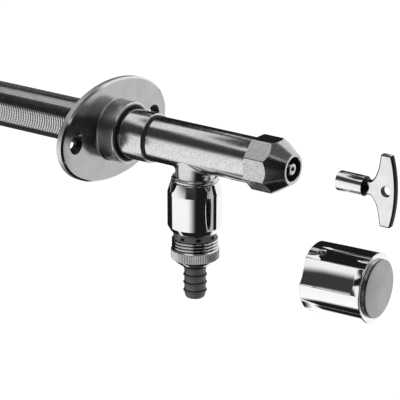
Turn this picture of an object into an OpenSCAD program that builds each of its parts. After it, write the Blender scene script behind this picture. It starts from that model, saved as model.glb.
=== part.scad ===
// Frost free wall tap: a long stem through the wall with its valve at the warm end, a vacuum breaker and a
// hose union on the outlet, and its socket key and hand knob taken off and lying apart in front.
// Millimetres. The origin is the centre of the flange's back face, on the axis of the tap.
// +X runs out of the wall along that axis, +Z is up, and the outlet hangs along -Z.

/* [Wall tube] */
// Radius over the crests of the tube's thread
tube_r = 14.9; // [14.4:0.1:15.4]
// Wall of the tube below the thread
tube_wall = 1.7; // [1.5:0.05:1.9]
// Length of the tube behind the wall plane
tube_behind = 200; // [170:5:400]
// Length behind the wall plane that carries the thread
tube_thread_len = 120; // [60:5:140]
// Pitch of the tube's thread
tube_pitch = 1.5; // [1:0.25:2]
// Depth of the tube's thread
tube_thread_depth = 0.7; // [0.5:0.05:0.9]
// Length of tube held inside the sleeve
tube_grip = 16; // [12:1:20]

/* [Wall flange] */
// Width of the oval plate, along Y
flange_w = 112; // [104:1:130]
// Height of the oval plate, along Z
flange_h = 67; // [56:1:80]
// Thickness of the plate
flange_t = 4.9; // [4:0.1:6]
// Bevel round the plate's front edge
flange_bevel = 1.3; // [0.4:0.1:1.6]
// Distance between the two screw holes
screw_spacing = 83; // [72:1:86]
// Radius of a screw hole
screw_hole_r = 3.25; // [2:0.05:4]
// Radius of a screw hole's countersink
screw_sink_r = 6.2; // [5:0.1:7]
// Depth of the countersink
screw_sink_depth = 2.6; // [1.5:0.1:2.8]
// Radius of the hub on the plate
hub_r = 20.5; // [20:0.1:24]
// Length of the hub in front of the plate
hub_len = 13.3; // [9:0.1:16]
// Thickness of the hub's floor behind the sleeve
hub_floor_t = 3.5; // [3:0.1:4]
// Bevel round the hub's front rim
hub_bevel = 0.7; // [0.3:0.1:1.2]
// Outer radius of the gasket let into the plate's back
wall_gasket_r = 19; // [18:0.1:20]
// Thickness of that gasket
wall_gasket_t = 2; // [1:0.1:2.4]

/* [Sleeve and its seals] */
// Wall of the sleeve over the tube's thread
sleeve_wall = 1.55; // [1.3:0.05:1.9]
// Length of sleeve that shows in front of the hub
sleeve_show = 19.8; // [15:0.1:26]
// Section diameter of the seal at the hub's mouth
hub_seal_d = 2.1; // [1.6:0.1:2.4]
// Section diameter of the small O-rings
o_ring_d = 1.6; // [1.2:0.1:1.8]
// Outer radius of the seal between the sleeve and the body
joint_seal_r = 15.3; // [14.6:0.1:16.2]
// Thickness of the seal between the sleeve and the body
joint_seal_t = 1.8; // [1:0.1:3]

/* [Body] */
// Outer radius of the body
body_r = 15; // [14.5:0.1:16]
// Radius of the bore through the body
body_bore = 10.8; // [10.7:0.05:11]
// Radius of the body's end that the sleeve holds
spigot_r = 13.4; // [13.2:0.1:13.6]
// Distance from the body's shoulder to the outlet's axis
outlet_reach = 29.6; // [24:0.1:60]
// Distance from the outlet's axis to the nut's back face
front_reach = 49.3; // [40:0.1:80]
// Radius over the front thread
front_thread_r = 13.4; // [13.2:0.1:13.8]
// Length of the front thread
front_thread_len = 12.3; // [11.5:0.1:15]

/* [Branch] */
// Radius of the branch's neck
branch_r = 12.8; // [11.5:0.1:14]
// Drop from the axis to the top of the collar
branch_drop = 19.2; // [17:0.1:26]
// Radius of the collar
collar_r = 15.45; // [14.5:0.05:17]
// Thickness of the collar
collar_t = 2.8; // [2:0.1:4]
// Radius of the bore down the branch
branch_bore = 7.5; // [6:0.1:8]
// Radius over the outlet's thread
outlet_thread_r = 10.48; // [10.2:0.02:10.8]
// Length of the outlet's thread
outlet_thread_len = 11; // [9:0.5:14]

/* [Head nut] */
// Radius over the corners of the octagon
nut_corner_r = 18.1; // [17.6:0.1:18.4]
// Length of the octagon, measured on its corners
nut_octagon_len = 14.6; // [13:0.1:18]
// Length of the cone in front of the octagon
nut_cone_len = 12.4; // [9:0.1:16]
// Radius of the nose's rim
nose_r = 10; // [9.6:0.05:11]
// Radius of the recess in the nose
nose_recess_r = 7.85; // [7.6:0.05:8.3]
// Bevel round the nose's rim
nose_bevel = 0.5; // [0.2:0.1:0.9]

/* [Spindle and stem] */
// Width across the flats of the spindle's square
square_w = 7; // [6.4:0.1:7.2]
// Radius that rounds the square's corners
square_round_r = 4.6; // [4.2:0.05:4.75]
// Length of the square
square_len = 8; // [7:0.1:9]
// Distance of the square's tip behind the nose's rim
square_inset = 0.6; // [0.2:0.1:2]
// Radius of the tapped hole in the square's tip
tip_hole_r = 1.65; // [1:0.05:2]
// Radius of the spindle in its gland
journal_r = 6; // [5.6:0.1:6.2]
// Radius of the spindle's thrust collar
thrust_r = 9; // [8:0.1:9.6]
// Thickness of the thrust collar
thrust_t = 2.5; // [2:0.1:4]
// Length of the socket that holds the rod
rod_socket_len = 18; // [14:1:24]
// Radius of the long rod
rod_r = 4; // [3.5:0.1:4.2]
// Radius of the cross pin
stem_pin_r = 1.25; // [1:0.05:1.5]
// Radius over the screw at the rod's end
screw_r = 5; // [4.6:0.1:5.2]
// Travel of the valve per turn of the spindle
screw_lead = 2; // [1.5:0.1:2.5]
// Length of the screw
screw_len = 22; // [18:1:26]

/* [Gland] */
// Length of the gland bush inside the body
gland_len = 10; // [8:0.1:11]
// Thickness of the gland's lip
gland_lip_t = 2; // [1.4:0.1:2.4]
// Thickness of the thrust washer
thrust_washer_t = 1; // [0.6:0.1:1.6]
// Thickness of the retaining ring
retainer_t = 1; // [0.8:0.1:1.2]
// Outer radius of the retaining ring
retainer_r = 7.3; // [7:0.05:7.4]

/* [Valve at the warm end] */
// Radius over the inlet's thread
inlet_thread_r = 10.48; // [10.2:0.02:10.8]
// Length of the inlet's thread
inlet_thread_len = 15; // [12:1:20]
// Pitch of the inlet's, the outlet's and the hose union's thread
pipe_pitch = 1.814; // [1.6:0.001:2]
// Depth of those threads
pipe_thread_depth = 1; // [0.8:0.05:1.1]
// Width across the flats of the connector's hexagon
inlet_hex_w = 28; // [26:0.5:32]
// Length of the hexagon
inlet_hex_len = 10; // [8:0.5:14]
// Radius of the inlet's bore
inlet_bore = 7; // [6:0.1:7.6]
// Depth of the solid plug between the tube's end and the valve chamber
inlet_plug_len = 6; // [5:0.1:8]
// Length of the valve chamber
chamber_len = 36; // [34:1:44]
// Radius of the valve chamber
chamber_r = 10.8; // [10.7:0.05:11]
// Radius of the hole in the valve seat
seat_hole_r = 5.5; // [4.6:0.1:6]
// Height of the seat ring with its lip
seat_h = 3; // [2.5:0.1:4]
// Radius of the rubber washer on the plunger
seat_washer_r = 8; // [7.2:0.1:8.6]
// Thickness of that washer
seat_washer_t = 3; // [2:0.1:4]
// Radius of the plunger
plunger_r = 9; // [8.6:0.1:9.6]
// Length of the plunger
plunger_len = 25; // [24:0.5:27]
// Solid length of the plunger behind its screw hole
plunger_floor = 7; // [6:0.5:8]
// Width of a plunger key
key_rail_w = 4; // [3:0.1:5]
// Travel of the plunger
valve_lift = 5; // [3:0.5:6]

/* [Vacuum breaker] */
// Radius of the barrel
barrel_r = 18; // [17.5:0.1:20]
// Radius of the barrel's top edge
barrel_top_r = 15.6; // [14.6:0.1:17]
// Length of the barrel's tapered top
barrel_taper_len = 7.6; // [5:0.1:10]
// Length of the barrel's straight part
barrel_straight_len = 22.5; // [21:0.1:30]
// Length of the barrel's drawn-in foot
barrel_foot_len = 5.3; // [4:0.1:7]
// Radius of the barrel's foot
barrel_foot_r = 14.4; // [14:0.1:15]
// Radius of the chamber in the barrel
barrel_bore = 12.7; // [12.4:0.05:13.2]
// Radius of the neck below the barrel
neck_r = 14.1; // [13.8:0.05:14.3]
// Length of the neck
neck_len = 3.7; // [3:0.1:5]
// Number of air windows in the neck
window_count = 8; // [6:1:10]
// Width of an air window
window_w = 3.2; // [2:0.1:4]
// Height of an air window
window_h = 2.2; // [1.6:0.1:2.6]
// Thickness of the loose ring that closes the air way
air_ring_t = 1.6; // [1:0.1:2.4]

/* [Check valve] */
// Length of the check valve's cage
cage_len = 15; // [14:0.1:16]
// Thickness of the cage's two plates and its wall
cage_wall = 2; // [1.4:0.1:2.2]
// Radius of the hole in the cage's seat
cage_hole_r = 5.5; // [4.5:0.1:6]
// Radius of the poppet
poppet_r = 7.8; // [7.2:0.1:8.4]
// Thickness of the poppet's disc
poppet_t = 2.2; // [1.6:0.1:2.6]
// Thickness of the poppet's rubber
poppet_seal_t = 1.2; // [0.8:0.1:1.6]
// Radius of the poppet's stem
poppet_stem_r = 1.5; // [1.2:0.1:1.8]
// Mean radius of the spring's coil
spring_r = 3.4; // [3:0.1:3.8]
// Radius of the spring's wire
spring_wire_r = 0.35; // [0.25:0.05:0.45]
// Number of turns of the spring
spring_turns = 4; // [3:1:5]

/* [Hose union] */
// Radius over the hose thread
hose_thread_r = 13.22; // [13:0.02:13.5]
// Length of the hose thread
hose_thread_len = 10; // [9:0.5:12]
// Radius of the water way through the base
hose_bore = 8; // [7:0.1:8.2]
// Thickness of the flat gasket in the union
union_gasket_t = 2.4; // [1.6:0.1:3]
// Thickness of the hose tail's flange
tail_flange_t = 3; // [2:0.1:4]
// Thickness of the nut's floor
union_floor_t = 2.4; // [2:0.1:3.5]
// Radius over the nut's grip ribs
union_rib_r = 15.3; // [15:0.05:15.8]
// Number of grip ribs
union_rib_count = 3; // [2:1:4]
// Spacing of the grip ribs
union_rib_pitch = 2.1; // [1.6:0.1:2.2]
// Depth between the grip ribs
union_rib_depth = 0.7; // [0.3:0.05:0.9]
// Radius over the knurled band
knurl_r = 15.9; // [15.6:0.05:17]
// Length of the knurled band
knurl_len = 6.2; // [4:0.1:7]
// Distance from the nut's foot to the knurled band
knurl_above_foot = 4; // [3:0.1:4.6]
// Number of knurls
knurl_count = 84; // [60:4:100]
// Depth of a knurl
knurl_depth = 0.35; // [0.2:0.05:0.5]
// Radius of the nut's foot
union_foot_r = 10.8; // [10:0.1:13]

/* [Hose tail] */
// Radius over the tail's ribs
barb_r = 7.85; // [7.4:0.05:8.4]
// Radius between the tail's ribs
barb_valley_r = 7.1; // [6.6:0.05:7.3]
// Radius of the bore through the tail
barb_bore = 4.6; // [3.5:0.1:5]
// Number of ribs
barb_count = 4; // [3:1:6]
// Spacing of the ribs
barb_pitch = 5.43; // [4:0.01:7]
// Distance from the nut's foot to the first rib's crest
barb_start = 2.5; // [1.5:0.1:5]
// Length of the tip below the last rib's crest
barb_tip_len = 5; // [4:0.1:8]
// Radius of the tail's tip
barb_tip_r = 5.5; // [5.2:0.05:6]

/* [Socket key] */
// Distance of the key in front of the nose's rim
key_away = 34.8; // [5:0.1:60]
// Radius of the key's socket
key_socket_r = 6.4; // [6.2:0.05:6.8]
// Length of the key's socket
key_socket_len = 18.8; // [15:0.1:24]
// Depth of the square hole in the socket
key_hole_depth = 10; // [9:0.1:13]
// Length of the cone between the socket and the wing
key_shoulder_len = 4.3; // [3:0.1:5]
// Half height of the neck between the cone and the wing
key_neck_r = 4.6; // [4:0.1:5.6]
// Length of the wing in front of the shoulder
wing_len = 18.1; // [15:0.1:24]
// Height of the wing
wing_h = 47; // [40:0.5:60]
// Thickness of the wing
wing_t = 4.2; // [3.4:0.1:5]
// Depth of the bow on the wing's front edge
wing_bow = 3.5; // [1:0.1:5]
// Width of the wing's tip
wing_tip_w = 7.8; // [7:0.1:10]
// Radius of the hole in the wing
wing_hole_r = 3.25; // [3.1:0.05:4]
// Distance from the shoulder to that hole
wing_hole_reach = 11.4; // [9:0.1:13]

/* [Knob] */
// Distance of the knob's end disc from the wall plane
knob_x = 211; // [200:1:320]
// Drop of the knob's axis below the tap's axis
knob_drop = 65.4; // [55:0.1:120]
// Turn of the knob's axis about the vertical, in degrees
knob_yaw = 4; // [0:1:10]
// Radius over the knob's lands
knob_r = 22.4; // [22.2:0.1:25]
// Length of the knob
knob_len = 45; // [43:0.5:55]
// Radius of the cup inside the knob
cup_r = 18.7; // [18.6:0.1:19.2]
// Round on the knob's front edge
knob_round = 1.2; // [0.8:0.1:2]
// Depth of a flute
flute_depth = 1.5; // [1:0.1:2]
// Number of flutes
flute_count = 3; // [2:1:6]
// Angle that a flute takes up
flute_span = 46; // [30:1:56]
// Distance from the disc's face to the flutes' run-out
flute_stop = 6; // [4.5:0.1:8]
// Length of the flutes' run-out
flute_run_out = 3.6; // [2.5:0.1:5]
// Turn of the first flute, in degrees
flute_turn = 101; // [0:1:359]
// Radius of the end disc
disc_r = 18.7; // [18:0.1:19.4]
// Thickness of the end disc
disc_t = 4; // [3.2:0.1:5]
// Height of the end disc's face in front of the knob's front edge
disc_proud = 2.4; // [1:0.1:2.8]
// Distance from the disc's face to the driver's web
web_depth = 10; // [8:0.1:12]
// Thickness of the driver's web
web_t = 4; // [3:0.1:5]
// Radius of the driver's post
post_r = 7.2; // [6.8:0.1:7.4]
// Length of the driver's post
post_len = 9; // [8.2:0.1:10]
// Radius of the knob's screw
knob_screw_r = 1.9; // [1.5:0.05:2]
// Radius of the knob screw's head
knob_screw_head_r = 3.6; // [3:0.1:4.5]
// Height of the knob screw's head
knob_screw_head_h = 2.4; // [1.5:0.1:3]

/* [Clearances] */
// Radial clearance of a running fit
run_gap = 0.05; // [0.02:0.01:0.1]
// Radial clearance of a loose fit
slip_gap = 0.1; // [0.05:0.01:0.15]
// Clearance round a seal in its groove
seal_gap = 0.05; // [0.02:0.01:0.1]
// Clearance between a thread's crests and the bore it screws into
thread_gap = 0.15; // [0.1:0.01:0.2]
// Clearance between two faces that meet
face_gap = 0.05; // [0.02:0.01:0.1]
// Clearance between a square and its socket, across the flats
square_gap = 0.3; // [0.2:0.05:0.4]

/* [Hidden] */
$fn = 96;

// Cut that reaches past a surface
past = 1;
// Share of a thread's pitch where the rising flank ends, and where the falling flank starts
crest_start = 0.36;
crest_end = 0.64;

// Stations along X, from the wall outwards
sleeve_back = hub_floor_t + face_gap;
tube_front = sleeve_back + tube_grip;
sleeve_floor = tube_front + o_ring_d;
hub_end = flange_t + hub_len;
sleeve_end = hub_end + sleeve_show;
body_start = sleeve_end + joint_seal_t;
outlet_x = body_start + outlet_reach;
body_end = outlet_x + front_reach;
gland_face = body_end + front_thread_len;
gland_front = gland_face + gland_lip_t;
nose_end = body_end + nut_octagon_len + nut_cone_len;
square_end = nose_end - square_inset;
square_back = square_end - square_len;
gland_back = gland_face - gland_len;
thrust_front = gland_back - thrust_washer_t;
thrust_back = thrust_front - thrust_t;
rod_socket_back = thrust_back - rod_socket_len;
rod_front = thrust_back - face_gap;
stem_pin_x = (rod_socket_back + thrust_back) / 2;
key_back = nose_end + key_away;

// Stations along X, behind the wall
tube_back = -tube_behind;
hex_back = tube_back - inlet_hex_len;
inlet_back = hex_back - inlet_thread_len;
chamber_back = tube_back + inlet_plug_len;
chamber_front = chamber_back + chamber_len;
seat_face = chamber_back + seat_h;
washer_back = seat_face + face_gap;
plunger_back = washer_back + seat_washer_t;
plunger_front = plunger_back + plunger_len;
screw_back = plunger_back + plunger_floor + valve_lift + past;
screw_front = screw_back + screw_len;
key_rail_back = plunger_back + plunger_floor + past;
key_rail_front = plunger_front - 2 * past;

// Radii along the main axis
tube_root_r = tube_r - tube_thread_depth;
tube_bore = tube_root_r - tube_wall;
sleeve_bore = tube_r + thread_gap;
sleeve_r = sleeve_bore + sleeve_wall;
spigot_bore = spigot_r + slip_gap;
plug_r = tube_bore - slip_gap;
gland_r = body_bore - run_gap;
gland_bore = journal_r + run_gap;
nut_bore = front_thread_r + thread_gap;
gland_lip_r = front_thread_r - slip_gap;
rod_socket_r = rod_r + 2;
key_rail_r = (chamber_r + tube_bore) / 2;
washer_screw_r = 1.9;
washer_screw_head_r = 3.2;
washer_screw_head_h = 2;

// Drops down the outlet, from the axis
collar_foot = branch_drop + collar_t;
outlet_end = collar_foot + outlet_thread_len;
barrel_top = collar_foot + face_gap;
taper_foot = barrel_top + barrel_taper_len;
straight_foot = taper_foot + barrel_straight_len;
barrel_foot = straight_foot + barrel_foot_len;
barrel_chamber_top = outlet_end + face_gap;
cage_top = barrel_chamber_top + face_gap;
cage_foot = cage_top + cage_len;
seat_under = cage_top + cage_wall;
seal_top = seat_under + face_gap;
poppet_top = seal_top + poppet_seal_t;
poppet_foot = poppet_top + poppet_t;
spider_top = cage_foot - cage_wall;
poppet_stem_foot = cage_foot + past;
base_top = cage_foot + face_gap;
neck_top = barrel_foot + face_gap;
neck_foot = barrel_foot + neck_len;
window_foot = neck_foot - (neck_len - window_h) / 2;
air_floor = barrel_foot - air_ring_t;
hose_end = neck_foot + hose_thread_len;
union_gasket_top = hose_end + face_gap;
tail_top = union_gasket_top + union_gasket_t;
union_shoulder = tail_top + tail_flange_t + face_gap;
union_foot = union_shoulder + union_floor_t;
union_top = neck_foot + face_gap;
knurl_foot = union_foot - knurl_above_foot;
knurl_top = knurl_foot - knurl_len;
first_barb = union_foot + barb_start;
barb_foot = first_barb + (barb_count - 1) * barb_pitch;
tail_foot = barb_foot + barb_tip_len;

// Radii round the outlet
outlet_root_r = outlet_thread_r - pipe_thread_depth;
outlet_socket_r = outlet_thread_r + thread_gap;
cage_r = barrel_bore - slip_gap;
base_bore = cage_r - 1.2;
cage_bore = cage_r - 1.4;
air_way_in = hose_bore + 1.3;
air_way_out = air_way_in + 1.5;
air_ring_in = air_way_in - 0.7;
air_ring_out = base_bore - 2 * slip_gap;
union_bore = hose_thread_r + thread_gap;
union_gasket_r = union_bore - 3 * slip_gap;
union_hole_r = barb_r + 3 * slip_gap;
union_rib_root = union_rib_r - union_rib_depth;

// Knob and key
knob_bore = disc_r + slip_gap;
lip_r = min(disc_r, cup_r) - 1.5;
square_socket_w = square_w + square_gap;
square_socket_r = square_round_r + square_gap / 2;
wing_back = key_back + key_socket_len + key_shoulder_len;
wing_front = wing_back + wing_len;

// Outline of a thread as rings of its pitch, from one end to the other, in [radius, station] points
function thread(r, depth, pitch, from, to) =
    let (count = floor((to - from) / pitch), step = (to - from) / count)
    [for (i = [0 : count - 1], p = [[r - depth, 0], [r, crest_start], [r, crest_end]])
        [p[0], from + (i + p[1]) * step]];
// Points of an arc
function arc(x, y, r, from, to, steps = 8) =
    [for (i = [0 : steps]) let (a = from + (to - from) * i / steps) [x + r * cos(a), y + r * sin(a)]];
// Points of a curve from p to q that leaves and arrives along the lines through c
function bend(p, c, q, steps = 10) =
    [for (i = [0 : steps]) let (t = i / steps) (1 - t) * (1 - t) * p + 2 * t * (1 - t) * c + t * t * q];
// Points of an ellipse
function ellipse(a, b, steps = 144) = [for (i = [0 : steps - 1]) [a * cos(360 * i / steps), b * sin(360 * i / steps)]];

// Turns what is drawn along Z onto the tap's axis
module on_axis(x = 0) { translate([x, 0, 0]) rotate([0, 90, 0]) children(); }
// Turns what is drawn along Z onto the outlet's axis, with Z as the drop
module on_outlet(drop = 0) { translate([outlet_x, 0, -drop]) rotate([180, 0, 0]) children(); }
// Turns what is drawn along Z onto the knob's axis, with its disc's face at zero
module on_knob() { translate([knob_x, 0, -knob_drop]) rotate([0, 0, knob_yaw]) on_axis() children(); }
module turned(points) { rotate_extrude() polygon(points); }
module ring(r_in, r_out, from, to) {
    turned([[r_in, from], [r_out, from], [r_out, to], [r_in, to]]);
}
module bore(r, from, to) { translate([0, 0, from]) cylinder(r = r, h = to - from); }
module o_ring(r_mid, d, at) {
    translate([0, 0, at]) rotate_extrude() translate([r_mid, 0]) circle(d = d - 2 * seal_gap);
}
// Square bar with rounded corners
module square_bar(w, round_r, from, to) {
    intersection() {
        translate([-w / 2, -w / 2, from]) cube([w, w, to - from]);
        bore(round_r, from - past, to + past);
    }
}
// Hexagonal bar
module hex_bar(w, from, to) { translate([0, 0, from]) cylinder(d = w / cos(30), h = to - from, $fn = 6); }
// Coil of round wire that stands on zero
module coil(r, wire_r, length, turns, rings = 8, sides = 6) {
    last = turns * rings;
    rise = (length - 2 * wire_r) / last;
    points = [for (i = [0 : last], k = [0 : sides - 1])
        let (a = 360 * i / rings, b = 360 * k / sides, reach = r + wire_r * cos(b))
        [reach * cos(a), reach * sin(a), wire_r + rise * i + wire_r * sin(b)]];
    walls = [for (i = [0 : last - 1], k = [0 : sides - 1], half = [0, 1])
        let (p = i * sides + k, q = i * sides + (k + 1) % sides)
        half == 0 ? [p, p + sides, q] : [q, p + sides, q + sides]];
    caps = concat([for (k = [1 : sides - 2]) [0, k, k + 1]],
        [for (k = [1 : sides - 2]) [last * sides, last * sides + k + 1, last * sides + k]]);
    polyhedron(points, concat(walls, caps), convexity = 10);
}

module wall_tube() {
    color("silver") on_axis()
        turned(concat(
            [[tube_bore, tube_back], [tube_root_r, tube_back]],
            thread(tube_r, tube_thread_depth, tube_pitch, -tube_thread_len, tube_front),
            [[tube_root_r, tube_front], [tube_bore, tube_front]]));
}

module wall_flange() {
    color("darkgray") difference() {
        union() {
            on_axis() rotate(90) linear_extrude(flange_t - flange_bevel)
                polygon(ellipse(flange_w / 2, flange_h / 2));
            on_axis(flange_t - flange_bevel) rotate(90)
                linear_extrude(flange_bevel, slices = 1,
                    scale = [1 - 2 * flange_bevel / flange_w, 1 - 2 * flange_bevel / flange_h])
                polygon(ellipse(flange_w / 2, flange_h / 2));
            on_axis() turned([[0, flange_t / 2], [hub_r, flange_t / 2], [hub_r, hub_end - hub_bevel],
                [hub_r - hub_bevel, hub_end], [0, hub_end]]);
        }
        on_axis() bore(sleeve_bore, -past, hub_end + past);
        on_axis() bore(sleeve_r + slip_gap, hub_floor_t, hub_end + past);
        on_axis() bore(sleeve_r + hub_seal_d, hub_end - hub_seal_d, hub_end + past);
        on_axis() bore(wall_gasket_r + slip_gap, -past, wall_gasket_t);
        for (side = [-1, 1]) translate([0, side * screw_spacing / 2, 0]) on_axis() {
            bore(screw_hole_r, -past, flange_t + past);
            translate([0, 0, flange_t - screw_sink_depth])
                cylinder(r1 = screw_hole_r, r2 = screw_sink_r, h = screw_sink_depth);
            bore(screw_sink_r, flange_t, flange_t + past);
        }
    }
}

module wall_gasket() {
    color("black") on_axis() ring(sleeve_bore, wall_gasket_r, 0, wall_gasket_t);
}

module hub_seal() {
    color("black") on_axis() o_ring(sleeve_r + hub_seal_d / 2, hub_seal_d, hub_end - hub_seal_d / 2);
}

module adapter_sleeve() {
    color("silver") on_axis() turned([[sleeve_bore, sleeve_back], [sleeve_r, sleeve_back],
        [sleeve_r, sleeve_end - hub_bevel], [sleeve_r - hub_bevel, sleeve_end], [spigot_bore, sleeve_end],
        [spigot_bore, sleeve_floor], [sleeve_bore, sleeve_floor]]);
}

module tube_o_ring() {
    color("black") on_axis() o_ring((tube_root_r + tube_bore) / 2, o_ring_d, (tube_front + sleeve_floor) / 2);
}

module joint_seal() {
    color("black") on_axis() ring(spigot_bore, joint_seal_r, sleeve_end, body_start);
}

module spigot_o_ring() {
    color("black") on_axis() o_ring(spigot_bore - o_ring_d / 2, o_ring_d, (sleeve_floor + sleeve_end) / 2);
}

module body() {
    groove = (sleeve_floor + sleeve_end) / 2;
    round_r = collar_t / 2;
    color("lightgray") difference() {
        union() {
            on_axis() turned(concat(
                [[0, sleeve_floor + face_gap], [spigot_r, sleeve_floor + face_gap], [spigot_r, body_start],
                    [body_r, body_start], [body_r, body_end]],
                thread(front_thread_r, tube_thread_depth, tube_pitch, body_end, gland_face),
                [[front_thread_r - tube_thread_depth, gland_face], [0, gland_face]]));
            on_outlet() turned(concat(
                [[0, 0], [branch_r, 0], [branch_r, branch_drop]],
                arc(collar_r - round_r, branch_drop + round_r, round_r, -90, 90),
                [[outlet_root_r, collar_foot]],
                thread(outlet_thread_r, pipe_thread_depth, pipe_pitch, collar_foot + o_ring_d, outlet_end),
                [[outlet_root_r, outlet_end], [0, outlet_end]]));
        }
        on_axis() bore(body_bore, sleeve_floor - past, gland_face + past);
        on_outlet() bore(branch_bore, 0, outlet_end + past);
        on_axis() ring(spigot_bore - o_ring_d, spigot_r + past, groove - o_ring_d / 2, groove + o_ring_d / 2);
    }
}

module head_nut() {
    slope = (nut_corner_r - nose_r) / nut_cone_len;
    back = body_end + face_gap;
    color("lightgray") difference() {
        intersection() {
            on_axis() rotate(22.5) translate([0, 0, back])
                cylinder(r = nut_corner_r, h = nose_end - back, $fn = 8);
            on_axis() turned([[0, back], [nut_corner_r - nose_bevel, back], [nut_corner_r + past, back + past],
                [nut_corner_r + past, body_end + nut_octagon_len - past / slope],
                [nose_r + nose_bevel * slope, nose_end - nose_bevel], [nose_r - nose_bevel, nose_end],
                [0, nose_end]]);
        }
        on_axis() bore(nut_bore, body_end - past, gland_front + face_gap);
        on_axis() bore(nose_recess_r, gland_front, nose_end + past);
    }
}

module gland_bush() {
    groove = (gland_back + gland_face) / 2;
    color("goldenrod") on_axis() difference() {
        turned([[gland_bore, gland_back], [gland_r, gland_back], [gland_r, gland_face + face_gap],
            [gland_lip_r, gland_face + face_gap], [gland_lip_r, gland_front], [gland_bore, gland_front]]);
        ring(body_bore - o_ring_d, gland_r + past, groove - o_ring_d / 2, groove + o_ring_d / 2);
    }
}

module gland_o_ring() {
    color("black") on_axis() o_ring(body_bore - o_ring_d / 2, o_ring_d, (gland_back + gland_face) / 2);
}

// The two seal grooves in the spindle's journal
spindle_seals = [for (share = [1, 2]) gland_back + share * gland_len / 3];

module spindle() {
    retainer_back = gland_front + face_gap;
    color("gainsboro") difference() {
        union() {
            on_axis() turned([[0, rod_socket_back], [rod_socket_r, rod_socket_back], [rod_socket_r, thrust_back],
                [thrust_r, thrust_back], [thrust_r, thrust_front], [journal_r, thrust_front],
                [journal_r, square_back], [0, square_back]]);
            on_axis() square_bar(square_w, square_round_r, square_back - past, square_end);
        }
        on_axis() for (at = spindle_seals)
            ring(gland_bore - o_ring_d, journal_r + past, at - o_ring_d / 2, at + o_ring_d / 2);
        on_axis() ring(journal_r - retainer_t, journal_r + past, retainer_back, retainer_back + retainer_t);
        on_axis() bore(rod_r + run_gap, rod_socket_back - past, thrust_back);
        on_axis() bore(tip_hole_r, square_back, square_end + past);
        translate([stem_pin_x, 0, 0]) rotate([90, 0, 0])
            cylinder(r = stem_pin_r + run_gap, h = 2 * (rod_socket_r + past), center = true);
    }
}

module spindle_o_rings() {
    color("black") on_axis() for (at = spindle_seals) o_ring(gland_bore - o_ring_d / 2, o_ring_d, at);
}

module thrust_washer() {
    color("ivory") on_axis() ring(journal_r + run_gap, thrust_r, thrust_front + face_gap, gland_back - face_gap);
}

module retaining_ring() {
    back = gland_front + 2 * face_gap;
    color("slategray") on_axis()
        ring(journal_r - retainer_t + run_gap, retainer_r, back, back + retainer_t - 2 * face_gap);
}

module stem_rod() {
    color("goldenrod") difference() {
        on_axis() turned(concat(
            [[0, screw_back]],
            thread(screw_r, screw_r - rod_r, screw_lead, screw_back, screw_front),
            [[rod_r, screw_front], [rod_r, rod_front], [0, rod_front]]));
        translate([stem_pin_x, 0, 0]) rotate([90, 0, 0])
            cylinder(r = stem_pin_r + run_gap, h = 2 * (rod_r + past), center = true);
    }
}

module stem_pin() {
    color("slategray") translate([stem_pin_x, 0, 0]) rotate([90, 0, 0])
        cylinder(r = stem_pin_r, h = 2 * (rod_socket_r - slip_gap), center = true);
}

module inlet_connector() {
    groove = (tube_back + chamber_back) / 2;
    inlet_root_r = inlet_thread_r - pipe_thread_depth;
    slot_back = key_rail_back - past;
    color("goldenrod") difference() {
        union() {
            on_axis() turned(concat(
                [[0, inlet_back]],
                thread(inlet_thread_r, pipe_thread_depth, pipe_pitch, inlet_back, hex_back),
                [[inlet_root_r, hex_back], [plug_r, hex_back], [plug_r, chamber_front], [0, chamber_front]]));
            on_axis() hex_bar(inlet_hex_w, hex_back, tube_back - face_gap);
        }
        on_axis() bore(inlet_bore, inlet_back - past, chamber_back + past);
        on_axis() bore(chamber_r, chamber_back, chamber_front + past);
        on_axis() ring(tube_bore - o_ring_d, plug_r + past, groove - o_ring_d / 2, groove + o_ring_d / 2);
        translate([slot_back, -tube_bore, -key_rail_w / 2 - slip_gap])
            cube([chamber_front + past - slot_back, 2 * tube_bore, key_rail_w + 2 * slip_gap]);
    }
}

module inlet_o_ring() {
    color("black") on_axis() o_ring(tube_bore - o_ring_d / 2, o_ring_d, (tube_back + chamber_back) / 2);
}

module valve_seat() {
    lip = seat_h / 3;
    color("gainsboro") on_axis() turned([[seat_hole_r, chamber_back], [chamber_r - run_gap, chamber_back],
        [chamber_r - run_gap, seat_face - lip], [seat_hole_r + lip, seat_face - lip], [seat_hole_r + lip / 2, seat_face],
        [seat_hole_r, seat_face]]);
}

module valve_plunger() {
    color("goldenrod") difference() {
        union() {
            on_axis() bore(plunger_r, plunger_back, plunger_front);
            translate([key_rail_back, -key_rail_r, -key_rail_w / 2])
                cube([key_rail_front - key_rail_back, 2 * key_rail_r, key_rail_w]);
        }
        on_axis() bore(screw_r + slip_gap, plunger_back + plunger_floor, plunger_front + past);
        on_axis() bore(washer_screw_r + run_gap, plunger_back - past, plunger_back + plunger_floor - past);
    }
}

module seat_washer() {
    color("black") on_axis() ring(washer_screw_r + run_gap, seat_washer_r, washer_back, plunger_back);
}

module washer_screw() {
    color("gainsboro") on_axis() {
        bore(washer_screw_head_r, washer_back - washer_screw_head_h, washer_back);
        bore(washer_screw_r, washer_back - washer_screw_head_h, plunger_back + plunger_floor - 2 * past);
    }
}

module breaker_housing() {
    waist = straight_foot + barrel_foot_len * 0.6;
    waist_r = (barrel_foot_r + barrel_r) / 2;
    color("whitesmoke") on_outlet() turned([[outlet_root_r + o_ring_d, barrel_top], [barrel_top_r, barrel_top],
        [barrel_r, taper_foot], [barrel_r, straight_foot], [waist_r, waist], [barrel_foot_r, barrel_foot],
        [barrel_bore, barrel_foot], [barrel_bore, barrel_chamber_top], [outlet_socket_r, barrel_chamber_top],
        [outlet_socket_r, barrel_top + o_ring_d], [outlet_root_r + o_ring_d, barrel_top + o_ring_d]]);
}

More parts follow.
